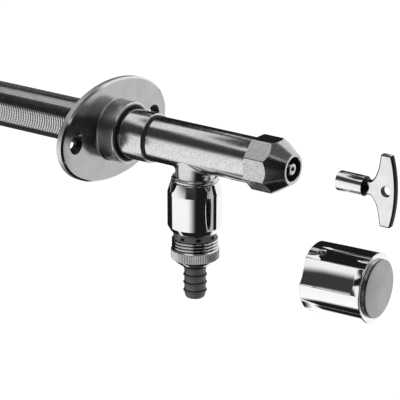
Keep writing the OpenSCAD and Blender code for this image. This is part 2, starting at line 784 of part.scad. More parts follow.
module breaker_base() {
    window_reach = neck_r + past - air_way_in;
    color("dimgray") on_outlet() difference() {
        turned(concat(
            [[base_bore, base_top], [cage_r, base_top], [cage_r, neck_top], [neck_r, neck_top], [neck_r, neck_foot],
                [hose_thread_r - pipe_thread_depth, neck_foot]],
            thread(hose_thread_r, pipe_thread_depth, pipe_pitch, neck_foot + past, hose_end),
            [[hose_thread_r - pipe_thread_depth, hose_end], [hose_bore, hose_end], [hose_bore, air_floor],
                [base_bore, air_floor]]));
        ring(air_way_in, air_way_out, air_floor - past, window_foot);
        for (i = [0 : window_count - 1]) rotate(360 * i / window_count)
            translate([air_way_in, -window_w / 2, window_foot - window_h]) cube([window_reach, window_w, window_h]);
    }
}

module outlet_o_ring() {
    color("black") on_outlet() o_ring(outlet_root_r + o_ring_d / 2, o_ring_d, barrel_top + o_ring_d / 2);
}

module check_cage() {
    hole_r = (cage_bore - spring_r) / 4;
    color("white") on_outlet() difference() {
        bore(cage_r, cage_top, cage_foot);
        bore(cage_bore, seat_under, spider_top);
        bore(cage_hole_r, cage_top - past, seat_under + past);
        bore(poppet_stem_r + run_gap, spider_top - past, cage_foot + past);
        for (i = [0 : 5]) rotate(60 * i) translate([(cage_bore + spring_r) / 2 + spring_wire_r, 0, 0])
            bore(hole_r, spider_top - past, cage_foot + past);
    }
}

module check_poppet() {
    boss_r = poppet_stem_r + 0.5;
    color("dodgerblue") on_outlet() {
        bore(poppet_r, poppet_top, poppet_foot);
        bore(boss_r, seal_top - past, poppet_foot);
        bore(poppet_stem_r, poppet_top, poppet_stem_foot);
    }
}

module poppet_seal() {
    boss_r = poppet_stem_r + 0.5;
    color("black") on_outlet() ring(boss_r + run_gap, poppet_r - slip_gap, seal_top, poppet_top);
}

module check_spring() {
    color("lightsteelblue") on_outlet(spider_top - face_gap) mirror([0, 0, 1])
        coil(spring_r, spring_wire_r, spider_top - poppet_foot - 2 * face_gap, spring_turns);
}

module air_ring() {
    color("black") on_outlet() ring(air_ring_in, air_ring_out, air_floor - air_ring_t - face_gap, air_floor - face_gap);
}

module union_gasket() {
    color("black") on_outlet() ring(barb_bore + past, union_gasket_r, union_gasket_top, tail_top);
}

module hose_tail() {
    rise = barb_pitch / 8;
    color("dimgray") on_outlet() turned(concat(
        [[barb_bore, tail_top], [union_gasket_r, tail_top], [union_gasket_r, tail_top + tail_flange_t],
            [barb_valley_r, tail_top + tail_flange_t]],
        [for (i = [0 : barb_count - 1], p = [[barb_valley_r, -rise], [barb_r, 0], [barb_r, rise / 2]])
            [p[0], first_barb + i * barb_pitch + p[1]]],
        bend([barb_valley_r - 0.4, tail_foot - barb_tip_len / 3], [barb_valley_r - 0.7, tail_foot], [barb_tip_r, tail_foot]),
        [[barb_bore, tail_foot]]));
}

module union_nut() {
    ribs_foot = union_top + union_rib_count * union_rib_pitch;
    valley_r = knurl_r - knurl_depth;
    band_r = valley_r - knurl_depth;
    color("silver") on_outlet() difference() {
        union() {
            turned(concat(
                [[union_bore, union_top]],
                thread(union_rib_r, union_rib_depth, union_rib_pitch, union_top, ribs_foot),
                [[union_rib_root, ribs_foot], [band_r, knurl_top], [band_r, knurl_foot],
                    [union_foot_r, union_foot], [union_hole_r, union_foot], [union_hole_r, union_shoulder],
                    [union_bore, union_shoulder]]));
            translate([0, 0, knurl_top]) linear_extrude(knurl_len) polygon([for (i = [0 : 2 * knurl_count - 1])
                let (a = 180 * i / knurl_count, r = i % 2 == 0 ? knurl_r : valley_r) [r * cos(a), r * sin(a)]]);
        }
        bore(union_bore, union_top - past, union_shoulder);
        bore(union_hole_r, union_shoulder - past, union_foot + past);
    }
}

// Half outline of the key's wing, above the axis: neck, waist, rounded tip and bowed front edge
function wing_half() =
    let (top = wing_h / 2, corner = wing_tip_w / 6, tip_front = wing_front - wing_bow, tip_back = tip_front - wing_tip_w,
        bow_r = (top * top + wing_bow * wing_bow) / (2 * wing_bow), bow_angle = asin((top - corner) / bow_r))
    concat(
        [[wing_back - key_shoulder_len, 0], [wing_back - key_shoulder_len, key_neck_r]],
        bend([wing_back, key_neck_r], [wing_back + 0.3 * wing_len, wing_h / 6], [tip_back, top - corner]),
        bend([tip_back, top - corner], [tip_back + corner / 4, top], [tip_back + corner, top], 5),
        bend([tip_front - corner, top], [tip_front, top], [wing_front - bow_r + bow_r * cos(bow_angle), top - corner], 5),
        arc(wing_front - bow_r, 0, bow_r, bow_angle, 0, 12));

module socket_key() {
    shoulder = key_back + key_socket_len;
    hole_x = wing_back + wing_hole_reach;
    color("lightgray") difference() {
        union() {
            on_axis() turned([[0, key_back], [key_socket_r, key_back], [key_socket_r, shoulder],
                [wing_t / 3, wing_back], [0, wing_back]]);
            for (side = [0, 1]) mirror([0, 0, side]) rotate([90, 0, 0]) translate([0, 0, -wing_t / 2])
                linear_extrude(wing_t) polygon(wing_half());
        }
        on_axis() square_bar(square_socket_w, square_socket_r, key_back - past, key_back + key_hole_depth);
        translate([hole_x, 0, 0]) rotate([90, 0, 0]) cylinder(r = wing_hole_r, h = wing_t + 2 * past, center = true);
    }
}

module knob_shell() {
    floor_r = knob_r - flute_depth;
    run_r = (flute_run_out * flute_run_out + flute_depth * flute_depth) / (2 * flute_depth);
    run_angle = asin(flute_run_out / run_r);
    run_back = -flute_stop - flute_run_out;
    disc_back = -disc_t - face_gap;
    color("whitesmoke") on_knob() difference() {
        turned(concat(
            [[cup_r, -knob_len], [knob_r - hub_bevel, -knob_len], [knob_r, -knob_len + hub_bevel]],
            arc(knob_r - knob_round, -disc_proud - knob_round, knob_round, 0, 90),
            [[knob_bore, -disc_proud], [knob_bore, disc_back], [lip_r, disc_back], [lip_r, -web_depth], [cup_r, -web_depth]]));
        for (i = [0 : flute_count - 1]) rotate(flute_turn + 360 * i / flute_count)
            rotate_extrude(angle = flute_span) polygon(concat(
                [[knob_r + past, -knob_len - past], [floor_r, -knob_len - past]],
                [for (p = arc(0, 0, run_r, 0, run_angle, 6)) [floor_r + run_r - p[0], run_back + p[1]]],
                [[knob_r + past, -flute_stop]]));
    }
}

module knob_driver() {
    web_back = -web_depth - web_t;
    post_back = web_back - post_len;
    color("black") on_knob() difference() {
        turned([[0, post_back], [post_r, post_back], [post_r, web_back], [cup_r - run_gap, web_back],
            [cup_r - run_gap, -web_depth - face_gap], [0, -web_depth - face_gap]]);
        square_bar(square_socket_w, square_socket_r, post_back - past, web_back);
        bore(knob_screw_r + slip_gap, web_back - past, -web_depth + past);
    }
}

module knob_disc() {
    color("darkgray") on_knob() turned([[0, -disc_t], [disc_r, -disc_t], [disc_r, -hub_bevel / 2],
        [disc_r - hub_bevel / 2, 0], [0, 0]]);
}

module knob_screw() {
    head_back = -web_depth;
    head_front = head_back + knob_screw_head_h;
    slot_w = knob_screw_r / 2;
    color("gainsboro") on_knob() difference() {
        union() {
            bore(knob_screw_head_r, head_back, head_front);
            bore(knob_screw_r, head_back - web_t - post_len / 2, head_front);
        }
        translate([-knob_screw_head_r - past, -slot_w / 2, head_front - knob_screw_head_h / 2])
            cube([2 * (knob_screw_head_r + past), slot_w, knob_screw_head_h]);
    }
}

wall_tube();
wall_flange();
wall_gasket();
hub_seal();
adapter_sleeve();
tube_o_ring();
joint_seal();
spigot_o_ring();
body();
head_nut();
gland_bush();
gland_o_ring();
spindle();
spindle_o_rings();
thrust_washer();
retaining_ring();
stem_rod();
stem_pin();
inlet_connector();
inlet_o_ring();
valve_seat();
valve_plunger();
seat_washer();
washer_screw();
breaker_housing();
breaker_base();
outlet_o_ring();
check_cage();
check_poppet();
poppet_seal();
check_spring();
air_ring();
union_gasket();
hose_tail();
union_nut();
socket_key();
knob_shell();
knob_driver();
knob_disc();
knob_screw();
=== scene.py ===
import math

import bmesh
import bpy
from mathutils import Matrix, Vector


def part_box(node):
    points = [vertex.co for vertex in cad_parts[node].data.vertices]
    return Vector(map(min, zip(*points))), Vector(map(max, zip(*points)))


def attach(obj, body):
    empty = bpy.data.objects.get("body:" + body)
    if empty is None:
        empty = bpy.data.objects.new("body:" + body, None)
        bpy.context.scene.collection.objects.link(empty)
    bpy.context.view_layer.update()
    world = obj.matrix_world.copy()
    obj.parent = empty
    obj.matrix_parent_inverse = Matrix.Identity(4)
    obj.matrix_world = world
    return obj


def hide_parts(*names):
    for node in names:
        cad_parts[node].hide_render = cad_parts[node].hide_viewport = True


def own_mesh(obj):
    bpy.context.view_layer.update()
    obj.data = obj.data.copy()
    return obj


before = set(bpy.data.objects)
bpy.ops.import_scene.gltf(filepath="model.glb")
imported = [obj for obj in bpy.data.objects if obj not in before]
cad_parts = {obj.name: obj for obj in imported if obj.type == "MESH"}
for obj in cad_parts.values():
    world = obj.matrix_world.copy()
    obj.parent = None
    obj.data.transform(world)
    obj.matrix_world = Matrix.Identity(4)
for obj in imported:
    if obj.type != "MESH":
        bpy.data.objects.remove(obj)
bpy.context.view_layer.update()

# Sizes are in mm along the tap's own lines, and become metres when a piece is drawn
MM = 0.001
TURN = 2 * math.pi
# Vertices nearer to each other than this, in metres, are one
WELD = 0.001 * MM
# How far a drill goes past a face, and the room between faces that meet and round threads
PAST, FIT, THREAD_FIT = 1.0, 0.05, 0.15

# Stations along the tap's axis, from the wall's face outwards
TUBE_BACK, TUBE_FRONT, THREAD_BACK = -200.0, 19.55, -120.0
HEX_BACK, INLET_BACK = -210.0, -225.0
PLATE, HUB_FLOOR, HUB_END = 4.9, 3.5, 18.2
SLEEVE_BACK, SLEEVE_FLOOR, SLEEVE_END = 3.55, 21.15, 38.0
BODY_START, OUTLET_X, BODY_END = 39.8, 69.4, 118.7
GLAND_FACE, GLAND_FRONT, NOSE_END = 131.0, 133.0, 145.7
KEY_BACK, KEY_SHOULDER, WING_BACK, WING_FRONT = 180.5, 199.3, 203.6, 221.7

# Radii and thread pitches along the tap's axis
TUBE_R, TUBE_ROOT, TUBE_BORE, TUBE_PITCH = 14.9, 14.2, 12.5, 1.5
SLEEVE_R, BODY_R, BODY_BORE = 16.6, 15.0, 10.8
PIPE_R, PIPE_ROOT, PIPE_PITCH = 10.48, 9.48, 1.814
HEAD_THREAD_R, HEAD_THREAD_ROOT = 13.4, 12.7
SPIGOT_R, SPIGOT_HOLE = 13.4, 13.5
TUBE_HOLE = TUBE_R + THREAD_FIT

# Seal rings: their wire, and half the width of their grooves
SEAL_WIRE, GROOVE_HALF = 1.6, 0.8

# Branch under the body: neck, and the round between neck and body
NECK_R, ROUND_R, BRANCH_BORE = 12.8, 3.0, 7.5
COLLAR_TOP, COLLAR_FOOT, COLLAR_R = 19.2, 22.0, 15.45
BRANCH_TOP, BRANCH_FOOT = 11.5, 33.0

# Grip ribs of the union nut
GRIP_ROOT, GRIP_CREST = 14.6, 15.3

# Knob, and the middle of its disc's face
KNOB_R, KNOB_LEN, KNOB_YAW = 22.4, 45.0, math.radians(4)
KNOB_SPOT = Vector((211, 0, -65.4))

# The lines that pieces are turned on: a point, the direction of the stations, and a direction square to it
TAP_LINE = (Vector((0, 0, 0)), Vector((1, 0, 0)), Vector((0, 0, 1)))
OUTLET_LINE = (Vector((OUTLET_X, 0, 0)), Vector((0, 0, -1)), Vector((1, 0, 0)))
KNOB_LINE = (KNOB_SPOT, Vector((math.cos(KNOB_YAW), math.sin(KNOB_YAW), 0)), Vector((0, 0, 1)))


# Modelling steps

def nothing_selected():
    if bpy.context.object and bpy.context.object.mode == "EDIT":
        bpy.ops.object.mode_set(mode="OBJECT")
    bpy.ops.object.select_all(action="DESELECT")


def only_selected(piece):
    nothing_selected()
    piece.select_set(True)
    bpy.context.view_layer.objects.active = piece


def named(name):
    piece = bpy.context.object
    piece.name = name
    piece.data.name = name
    return piece


def closed_up():
    bpy.ops.mesh.select_all(action="SELECT")
    bpy.ops.mesh.remove_doubles(threshold=WELD)
    bpy.ops.mesh.normals_make_consistent(inside=False)
    bpy.ops.object.mode_set(mode="OBJECT")


def drawn(name, points):
    """A line through points, drawn by extruding one vertex from place to place. Leaves edit mode on."""
    nothing_selected()
    bpy.ops.mesh.primitive_plane_add(size=MM)
    piece = named(name)
    bpy.ops.object.mode_set(mode="EDIT")
    bpy.ops.mesh.select_all(action="SELECT")
    bpy.ops.mesh.merge(type="CENTER")
    here = Vector((0, 0, 0))
    for count, point in enumerate(points):
        there = Vector(point) * MM
        if count == 0:
            bpy.ops.transform.translate(value=tuple(there - here))
        else:
            bpy.ops.mesh.extrude_vertices_move(TRANSFORM_OT_translate={"value": tuple(there - here)})
        here = there
    return piece


def turned(name, line, outline, steps=192):
    """Spins a closed outline of (radius, station) points round one of the lines."""
    origin, along, out = line
    points = [origin + along * station + out * radius for radius, station in outline + outline[:1]]
    piece = drawn(name, points)
    bpy.ops.mesh.select_all(action="SELECT")
    bpy.ops.mesh.spin(steps=steps, angle=TURN, center=tuple(origin * MM), axis=tuple(along))
    closed_up()
    return piece


def rounded(corners, bits=4):
    """Outline through (radius, station, round) corners, with an arc at each corner that has a round."""
    outline = []
    for i, (radius, station, *turn) in enumerate(corners):
        here = Vector((radius, station))
        if not turn:
            outline.append((radius, station))
            continue
        back = (Vector(corners[i - 1][:2]) - here).normalized()
        ahead = (Vector(corners[(i + 1) % len(corners)][:2]) - here).normalized()
        half = back.angle(ahead) / 2
        centre = here + (back + ahead).normalized() * turn[0] / math.sin(half)
        start = here + back * turn[0] / math.tan(half) - centre
        end = here + ahead * turn[0] / math.tan(half) - centre
        first = math.atan2(start.y, start.x)
        sweep = (math.atan2(end.y, end.x) - first + math.pi) % TURN - math.pi
        for k in range(bits + 1):
            angle = first + sweep * k / bits
            outline.append((centre.x + turn[0] * math.cos(angle), centre.y + turn[0] * math.sin(angle)))
    return outline


def quarter(bits):
    """Angles of a quarter turn, in equal bits."""
    return [math.pi / 2 * k / bits for k in range(bits + 1)]


def thread_rings(crest, root, pitch, start, end):
    """Outline of a hidden thread as rings, in (radius, station) points."""
    count = int((end - start) / pitch)
    step = (end - start) / count
    flank = 0.36 * step
    rings = []
    for i in range(count):
        foot = start + i * step
        rings += [(root, foot), (crest, foot + flank), (crest, foot + step - flank)]
    return rings


def seal_groove(outer, root, middle):
    """Outline of a seal ring's groove, in (radius, station) points."""
    back, front = middle - GROOVE_HALF, middle + GROOVE_HALF
    return [(outer, back), (root, back), (root, front), (outer, front)]


def thread_ridge(crest, root, start, width, edge, flank, flat, gap=0.0):
    """Outline of one wind of a thread: from inside the wall, up one flank to its crest, and down the other.

    The crest's edges are broken by edge, from flank to flat, and gap keeps one wind from the next."""
    up = [(root + 0.02, 0.06), (crest - edge, flank), (crest, flat)]
    down = [(radius, width - along) for radius, along in reversed(up)]
    outline = [(root - 0.2, 0)] + up + down + [(root - 0.2, width - gap)]
    return [(radius, start + along) for radius, along in outline]


def lofted(name, count, rings, place):
    """Extrudes a ring of vertices from one station to the next. place(turn, ring) gives a vertex its spot."""
    nothing_selected()
    bpy.ops.mesh.primitive_circle_add(vertices=count, radius=MM, fill_type="NOTHING")
    piece = named(name)
    bpy.ops.object.mode_set(mode="EDIT")
    ring_mesh = bmesh.from_edit_mesh(piece.data)
    order = ring_mesh.verts.layers.int.new("order")
    for number, vert in enumerate(ring_mesh.verts):
        vert[order] = number
        vert.select_set(True)
    ring_mesh.select_flush(True)
    bmesh.update_edit_mesh(piece.data)
    for number, ring in enumerate(rings):
        if number:
            bpy.ops.mesh.extrude_region_move(TRANSFORM_OT_translate={"value": (0, 0, 0)})
        ring_mesh = bmesh.from_edit_mesh(piece.data)
        order = ring_mesh.verts.layers.int["order"]
        for vert in ring_mesh.verts:
            if vert.select:
                vert.co = place(TURN * vert[order] / count, ring) * MM
        bmesh.update_edit_mesh(piece.data)
    closed_up()
    piece.data.attributes.remove(piece.data.attributes["order"])
    return piece


def wound_thread(name, line, ridge, pitch, turns, steps=48):
    """A thread's ridge: a closed outline of (radius, station) points wound along the line."""
    origin, along, out = line
    piece = drawn(name, [origin + along * station + out * radius for radius, station in ridge + ridge[:1]])
    bpy.ops.mesh.select_all(action="SELECT")
    bpy.ops.mesh.remove_doubles(threshold=WELD)
    bpy.ops.object.mode_set(mode="OBJECT")
    bpy.ops.object.modifier_add(type="SCREW")
    winding = piece.modifiers[-1]
    winding.axis = "X"
    winding.angle = TURN
    winding.screw_offset = pitch * MM
    winding.iterations = turns
    winding.steps = steps
    winding.render_steps = steps
    bpy.ops.object.modifier_apply(modifier=winding.name)
    bpy.ops.object.mode_set(mode="EDIT")
    bpy.ops.mesh.select_all(action="SELECT")
    bpy.ops.mesh.fill_holes(sides=12)
    closed_up()
    return piece


def cut(piece, tool, operation="DIFFERENCE"):
    only_selected(piece)
    bpy.ops.object.modifier_add(type="BOOLEAN")
    blade = piece.modifiers[-1]
    blade.operation = operation
    blade.solver = "EXACT"
    blade.object = tool
    bpy.ops.object.modifier_apply(modifier=blade.name)
    bpy.data.objects.remove(tool)
    return piece


def bar(name, sides, radius, start, end, line_turn=0.0, edge=0.0):
    """A bar with flat sides along the tap's axis, with its long edges bevelled."""
    nothing_selected()
    bpy.ops.mesh.primitive_cylinder_add(vertices=sides, radius=radius * MM, depth=(end - start) * MM,
                                        location=((start + end) / 2 * MM, 0, 0), rotation=(0, math.pi / 2, 0))
    piece = named(name)
    bpy.ops.object.transform_apply(location=True, rotation=True, scale=True)
    bpy.ops.object.mode_set(mode="EDIT")
    bpy.ops.mesh.select_all(action="SELECT")
    if line_turn:
        bpy.ops.transform.rotate(value=line_turn, orient_axis="X", center_override=(0, 0, 0))
    if edge:
        bpy.ops.mesh.select_all(action="DESELECT")
        bpy.ops.mesh.select_mode(type="EDGE")
        mesh = bmesh.from_edit_mesh(piece.data)
        for side in mesh.edges:
            a, b = (vert.co for vert in side.verts)
            side.select_set(abs(a.x - b.x) > 0.5 * (end - start) * MM)
        bmesh.update_edit_mesh(piece.data)
        bpy.ops.mesh.bevel(offset=edge * MM, segments=3, affect="EDGES")
        bpy.ops.mesh.select_mode(type="VERT")
    closed_up()
    return piece


def joined(piece, *others):
    only_selected(piece)
    for other in others:
        other.select_set(True)
    bpy.ops.object.join()
    return piece


def painted(piece, finishes, pick):
    """Gives a piece its finishes, and each face the one that pick(face) names."""
    for finish in finishes:
        piece.data.materials.append(finish)
    for face in piece.data.polygons:
        face.material_index = finishes.index(pick(face))


def mounted(piece, finish, body, node, crease=30):
    """Smooths a finished piece, gives it its finish, and seats it on its body in place of its node."""
    only_selected(piece)
    bpy.ops.object.shade_smooth_by_angle(angle=math.radians(crease))
    if finish.name not in piece.data.materials:
        piece.data.materials.append(finish)
    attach(piece, body)
    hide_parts(node)
    return piece


# Finishes

# The range that noise is spread from, and the share of its tone that a finish keeps at the roots under its
# painted shade
NOISE_LOW, NOISE_HIGH, ROOT_TONE = 0.3, 0.7, 0.06


def finish_base(name):
    finish = bpy.data.materials.new(name)
    finish.use_nodes = True
    nodes, links = finish.node_tree.nodes, finish.node_tree.links
    shader = nodes["Principled BSDF"]
    place = nodes.new("ShaderNodeTexCoord")
    return finish, nodes, links, shader, place.outputs["Object"]


def grain(nodes, links, place, size, detail=2.0, rough=0.5):
    """Noise with features of about size mm."""
    noise = nodes.new("ShaderNodeTexNoise")
    noise.inputs["Scale"].default_value = 1 / (size * MM)
    noise.inputs["Detail"].default_value = detail
    noise.inputs["Roughness"].default_value = rough
    links.new(place, noise.inputs["Vector"])
    return noise.outputs["Fac"]


def spread(nodes, links, value, low, high):
    """Spreads noise over low to high."""
    rescale = nodes.new("ShaderNodeMapRange")
    rescale.inputs["From Min"].default_value = NOISE_LOW
    rescale.inputs["From Max"].default_value = NOISE_HIGH
    rescale.inputs["To Min"].default_value = low
    rescale.inputs["To Max"].default_value = high
    links.new(value, rescale.inputs["Value"])
    return rescale.outputs["Result"]


def shaded(nodes, links, value, dark, light):
    """Colour that wanders between a dark and a light tone."""
    ramp = nodes.new("ShaderNodeValToRGB")
    ramp.color_ramp.elements[0].position = NOISE_LOW
    ramp.color_ramp.elements[0].color = (*dark, 1)
    ramp.color_ramp.elements[1].position = NOISE_HIGH
    ramp.color_ramp.elements[1].color = (*light, 1)
    links.new(value, ramp.inputs["Fac"])
    return ramp.outputs["Color"]


def surface(name, dark, light, metallic, rough, cloud, pit, depth, stretch=(1, 1, 1), detail=2.0):
    """A finish whose tone wanders between dark and light over cloud mm.

    Its pits are pit mm wide and depth micrometres deep, and its roughness follows them over its range."""
    finish, nodes, links, shader, place = finish_base(name)
    shader.inputs["Metallic"].default_value = metallic
    tone = grain(nodes, links, place, cloud)
    links.new(shaded(nodes, links, tone, dark, light), shader.inputs["Base Color"])
    drawn_out = nodes.new("ShaderNodeMapping")
    drawn_out.inputs["Scale"].default_value = stretch
    links.new(place, drawn_out.inputs["Vector"])
    fine = grain(nodes, links, drawn_out.outputs["Vector"], pit, detail, 0.6)
    links.new(spread(nodes, links, fine, *rough), shader.inputs["Roughness"])
    relief = nodes.new("ShaderNodeBump")
    relief.inputs["Strength"].default_value = 1.0
    relief.inputs["Distance"].default_value = depth * 1e-6
    links.new(fine, relief.inputs["Height"])
    links.new(relief.outputs["Normal"], shader.inputs["Normal"])
    return finish


def painted_root_shade(finish, root, crest, centre=(0, 0, 0), square=(0, 1, 1)):
    """Paints shade into a finish towards the roots of a thread or of ribs, where less light reaches.

    Root and crest are distances in mm from the line that they go round."""
    nodes, links = finish.node_tree.nodes, finish.node_tree.links
    shader = nodes["Principled BSDF"]
    tone = shader.inputs["Base Color"].links[0].from_socket
    place = nodes.new("ShaderNodeTexCoord")
    away = nodes.new("ShaderNodeVectorMath")
    away.operation = "SUBTRACT"
    away.inputs[1].default_value = Vector(centre) * MM
    links.new(place.outputs["Object"], away.inputs[0])
    across = nodes.new("ShaderNodeVectorMath")
    across.operation = "MULTIPLY"
    across.inputs[1].default_value = square
    links.new(away.outputs["Vector"], across.inputs[0])
    reach = nodes.new("ShaderNodeVectorMath")
    reach.operation = "LENGTH"
    links.new(across.outputs["Vector"], reach.inputs[0])
    depth = nodes.new("ShaderNodeMapRange")
    depth.inputs["From Min"].default_value = root * MM
    depth.inputs["From Max"].default_value = crest * MM
    depth.inputs["To Min"].default_value = ROOT_TONE
    depth.inputs["To Max"].default_value = 1.0
    links.new(reach.outputs["Value"], depth.inputs["Value"])
    dim = nodes.new("ShaderNodeVectorMath")
    dim.operation = "SCALE"
    links.new(tone, dim.inputs[0])
    links.new(depth.outputs["Result"], dim.inputs["Scale"])
    links.new(dim.outputs["Vector"], shader.inputs["Base Color"])


def grey(value):
    return (value, value, value * 1.005)


plated_thread_root_shade = surface("plated_thread_root_shade", grey(0.80), grey(0.90), 1.0, (0.10, 0.20), 6, 0.35, 3)
# Painted shade: the thread's tone darkens towards its roots
painted_root_shade(plated_thread_root_shade, TUBE_R - 0.08, TUBE_R - 0.015)
satin_plate = surface("satin_plate", grey(0.43), grey(0.49), 1.0, (0.15, 0.22), 9, 0.30, 5)
# Copies of the flange's finish, each with its own roughness: the rim's side is lighter, as painted light; its
# bevels and the hub's lip are lighter and smoother, as a painted highlight; the hub is darker and grainier,
# as painted shade
satin_rim_painted_light = surface("satin_rim_painted_light", grey(0.70), grey(0.78), 1.0, (0.42, 0.55), 6, 0.3, 8)
grainy_hub_painted_shade = surface("grainy_hub_painted_shade", grey(0.38), grey(0.46), 1.0, (0.28, 0.40), 5, 0.4, 12)
polished_rim_painted_highlight = surface("polished_rim_painted_highlight", grey(0.66), grey(0.74), 1.0, (0.10, 0.18), 5, 0.5, 2)
blasted_chrome = surface("blasted_chrome", grey(0.52), grey(0.78), 1.0, (0.12, 0.23), 0.85, 0.6, 14,
                         detail=3.0)
blasted_nut = surface("blasted_nut", grey(0.38), grey(0.68), 1.0, (0.12, 0.23), 0.85, 0.6, 14, detail=3.0)
mirror_chrome = surface("mirror_chrome", grey(0.84), grey(0.88), 1.0, (0.015, 0.05), 14, 2.5, 0.4)
turned_chrome = surface("turned_chrome", grey(0.72), grey(0.82), 1.0, (0.08, 0.18), 6, 0.4, 4, (1, 1, 6))
ribbed_chrome_root_shade = surface("ribbed_chrome_root_shade", grey(0.76), grey(0.86), 1.0, (0.06, 0.14), 6, 0.4, 3, (1, 1, 6))
# Painted shade: the grip ribs' tone darkens towards their roots
painted_root_shade(ribbed_chrome_root_shade, GRIP_ROOT + 0.02, GRIP_CREST - 0.12, (OUTLET_X, 0, 0), (1, 1, 0))
knurled_chrome = surface("knurled_chrome", grey(0.56), grey(0.70), 1.0, (0.25, 0.42), 3, 0.3, 14)
key_nickel = surface("key_nickel", grey(0.74), grey(0.84), 1.0, (0.20, 0.34), 5, 0.5, 12, detail=3.0)
key_barrel = surface("key_barrel", grey(0.78), grey(0.88), 1.0, (0.08, 0.17), 5, 0.5, 6, detail=3.0)
# Near-black metal: painted shade inside the flange's screw holes and on the key socket's shoulder where it
# meets the wing; it also blackens the key wing's edges
black_edges_and_painted_shade = surface("black_edges_and_painted_shade", grey(0.025), grey(0.06), 1.0, (0.35, 0.5), 2, 0.25, 10, (1, 6, 1))
satin_disc = surface("satin_disc", grey(0.33), grey(0.39), 1.0, (0.26, 0.36), 12, 0.22, 6)
nose_steel = surface("nose_steel", grey(0.60), grey(0.72), 1.0, (0.22, 0.34), 3, 0.3, 6)
stainless = surface("stainless", grey(0.52), grey(0.62), 1.0, (0.18, 0.32), 5, 0.25, 4, (1, 5, 1))
brass = surface("brass", (0.52, 0.36, 0.14), (0.66, 0.47, 0.20), 1.0, (0.20, 0.36), 8, 0.4, 6)
black_rubber = surface("black_rubber", grey(0.010), grey(0.018), 0.0, (0.55, 0.75), 3, 0.25, 10)
dark_plastic = surface("dark_plastic", grey(0.11), grey(0.135), 0.0, (0.36, 0.48), 4, 0.20, 7)
black_plastic = surface("black_plastic", grey(0.016), grey(0.024), 0.0, (0.38, 0.52), 4, 0.22, 8)
pale_plastic = surface("pale_plastic", (0.62, 0.61, 0.57), (0.70, 0.69, 0.65), 0.0, (0.40, 0.55), 5, 0.3, 6)
blue_plastic = surface("blue_plastic", (0.05, 0.16, 0.34), (0.07, 0.20, 0.42), 0.0, (0.35, 0.5), 4, 0.25, 6)


# Wall tube with its wound thread

tube = turned("threaded_tube", TAP_LINE, rounded([
    (TUBE_BORE, TUBE_BACK, 0.3), (TUBE_ROOT, TUBE_BACK, 0.4),
    (TUBE_ROOT, TUBE_FRONT, 0.3), (TUBE_BORE, TUBE_FRONT, 0.3)], 3), 128)
thread_turns = int((TUBE_FRONT - THREAD_BACK) / TUBE_PITCH) - 1
tube_ridge = wound_thread("tube_ridge", TAP_LINE, thread_ridge(
    TUBE_R, TUBE_ROOT, THREAD_BACK, TUBE_PITCH, 0.05, 0.36, 0.42, 0.02), TUBE_PITCH, thread_turns)
mounted(joined(tube, tube_ridge), plated_thread_root_shade, "tap", "wall_tube", 15)


# Oval flange with its hub

PLATE_A, PLATE_B, PLATE_EDGE, BACK_EDGE = 56.0, 33.5, 1.3, 0.4
FACE_OVALS = [(46, 29.5), (32, 25.5)]
HUB_R, HUB_FOOT, HUB_LIP, HUB_BORE = 20.5, 1.1, 0.8, SLEEVE_R + THREAD_FIT
SEAL_SEAT, SEAL_SEAT_R, GASKET_SEAT, GASKET_SEAT_R = 16.1, 18.75, 2.0, 19.1
SCREW_OUT, SCREW_R, SCREW_SINK, SCREW_SINK_R = 41.5, 3.25, 2.6, 6.1


def oval(turn, ring):
    station, wide, high = ring
    return Vector((station, wide * math.cos(turn), high * math.sin(turn)))


def flange_finish_and_painted_light(face):
    station, wide, high = face.center / MM
    across, facing = math.hypot(wide, high), abs(face.normal.x)
    on_edge = facing < 0.9 and (wide / PLATE_A) ** 2 + (high / PLATE_B) ** 2 > 0.93
    on_hub_lip = station > HUB_END - HUB_LIP - 0.05 and across > HUB_R - 1.2
    in_screw_hole = (math.hypot(abs(wide) - SCREW_OUT, high) < SCREW_SINK_R + 0.2
                     and station > 0.5 and facing < 0.98)
    # Painted light on the rim and the hub's lip, and painted shade on the hub and in the screw holes
    if on_edge and facing < 0.5:
        return satin_rim_painted_light
    if on_edge or on_hub_lip:
        return polished_rim_painted_highlight
    if across < HUB_R + 0.9 and station > PLATE + 0.3:
        return grainy_hub_painted_shade
    return black_edges_and_painted_shade if in_screw_hole else satin_plate


flange_rings = [(station, PLATE_A - inwards, PLATE_B - inwards) for station, inwards in [
    (0, BACK_EDGE), (0.3 * BACK_EDGE, 0.3 * BACK_EDGE), (BACK_EDGE, 0),
    (PLATE - PLATE_EDGE, 0), (PLATE, PLATE_EDGE)]]
flange_rings += [(PLATE, wide, high) for wide, high in FACE_OVALS]
hub_rings = [(PLATE + HUB_FOOT * (1 - math.cos(turn)), HUB_R + HUB_FOOT * (1 - math.sin(turn)))
             for turn in quarter(6)]
hub_rings += [(HUB_END - HUB_LIP * (1 - math.sin(turn)), HUB_R - HUB_LIP * (1 - math.cos(turn)))
              for turn in quarter(6)]
hub_rings += [(HUB_END, SEAL_SEAT_R + 0.1), (HUB_END - 0.1, SEAL_SEAT_R), (SEAL_SEAT, SEAL_SEAT_R),
              (SEAL_SEAT, HUB_BORE), (HUB_FLOOR, HUB_BORE), (HUB_FLOOR, TUBE_HOLE), (GASKET_SEAT, TUBE_HOLE),
              (GASKET_SEAT, GASKET_SEAT_R), (0, GASKET_SEAT_R)]
flange_rings += [(station, radius, radius) for station, radius in hub_rings]
flange_rings.append(flange_rings[0])
flange = lofted("oval_flange", 192, flange_rings, oval)
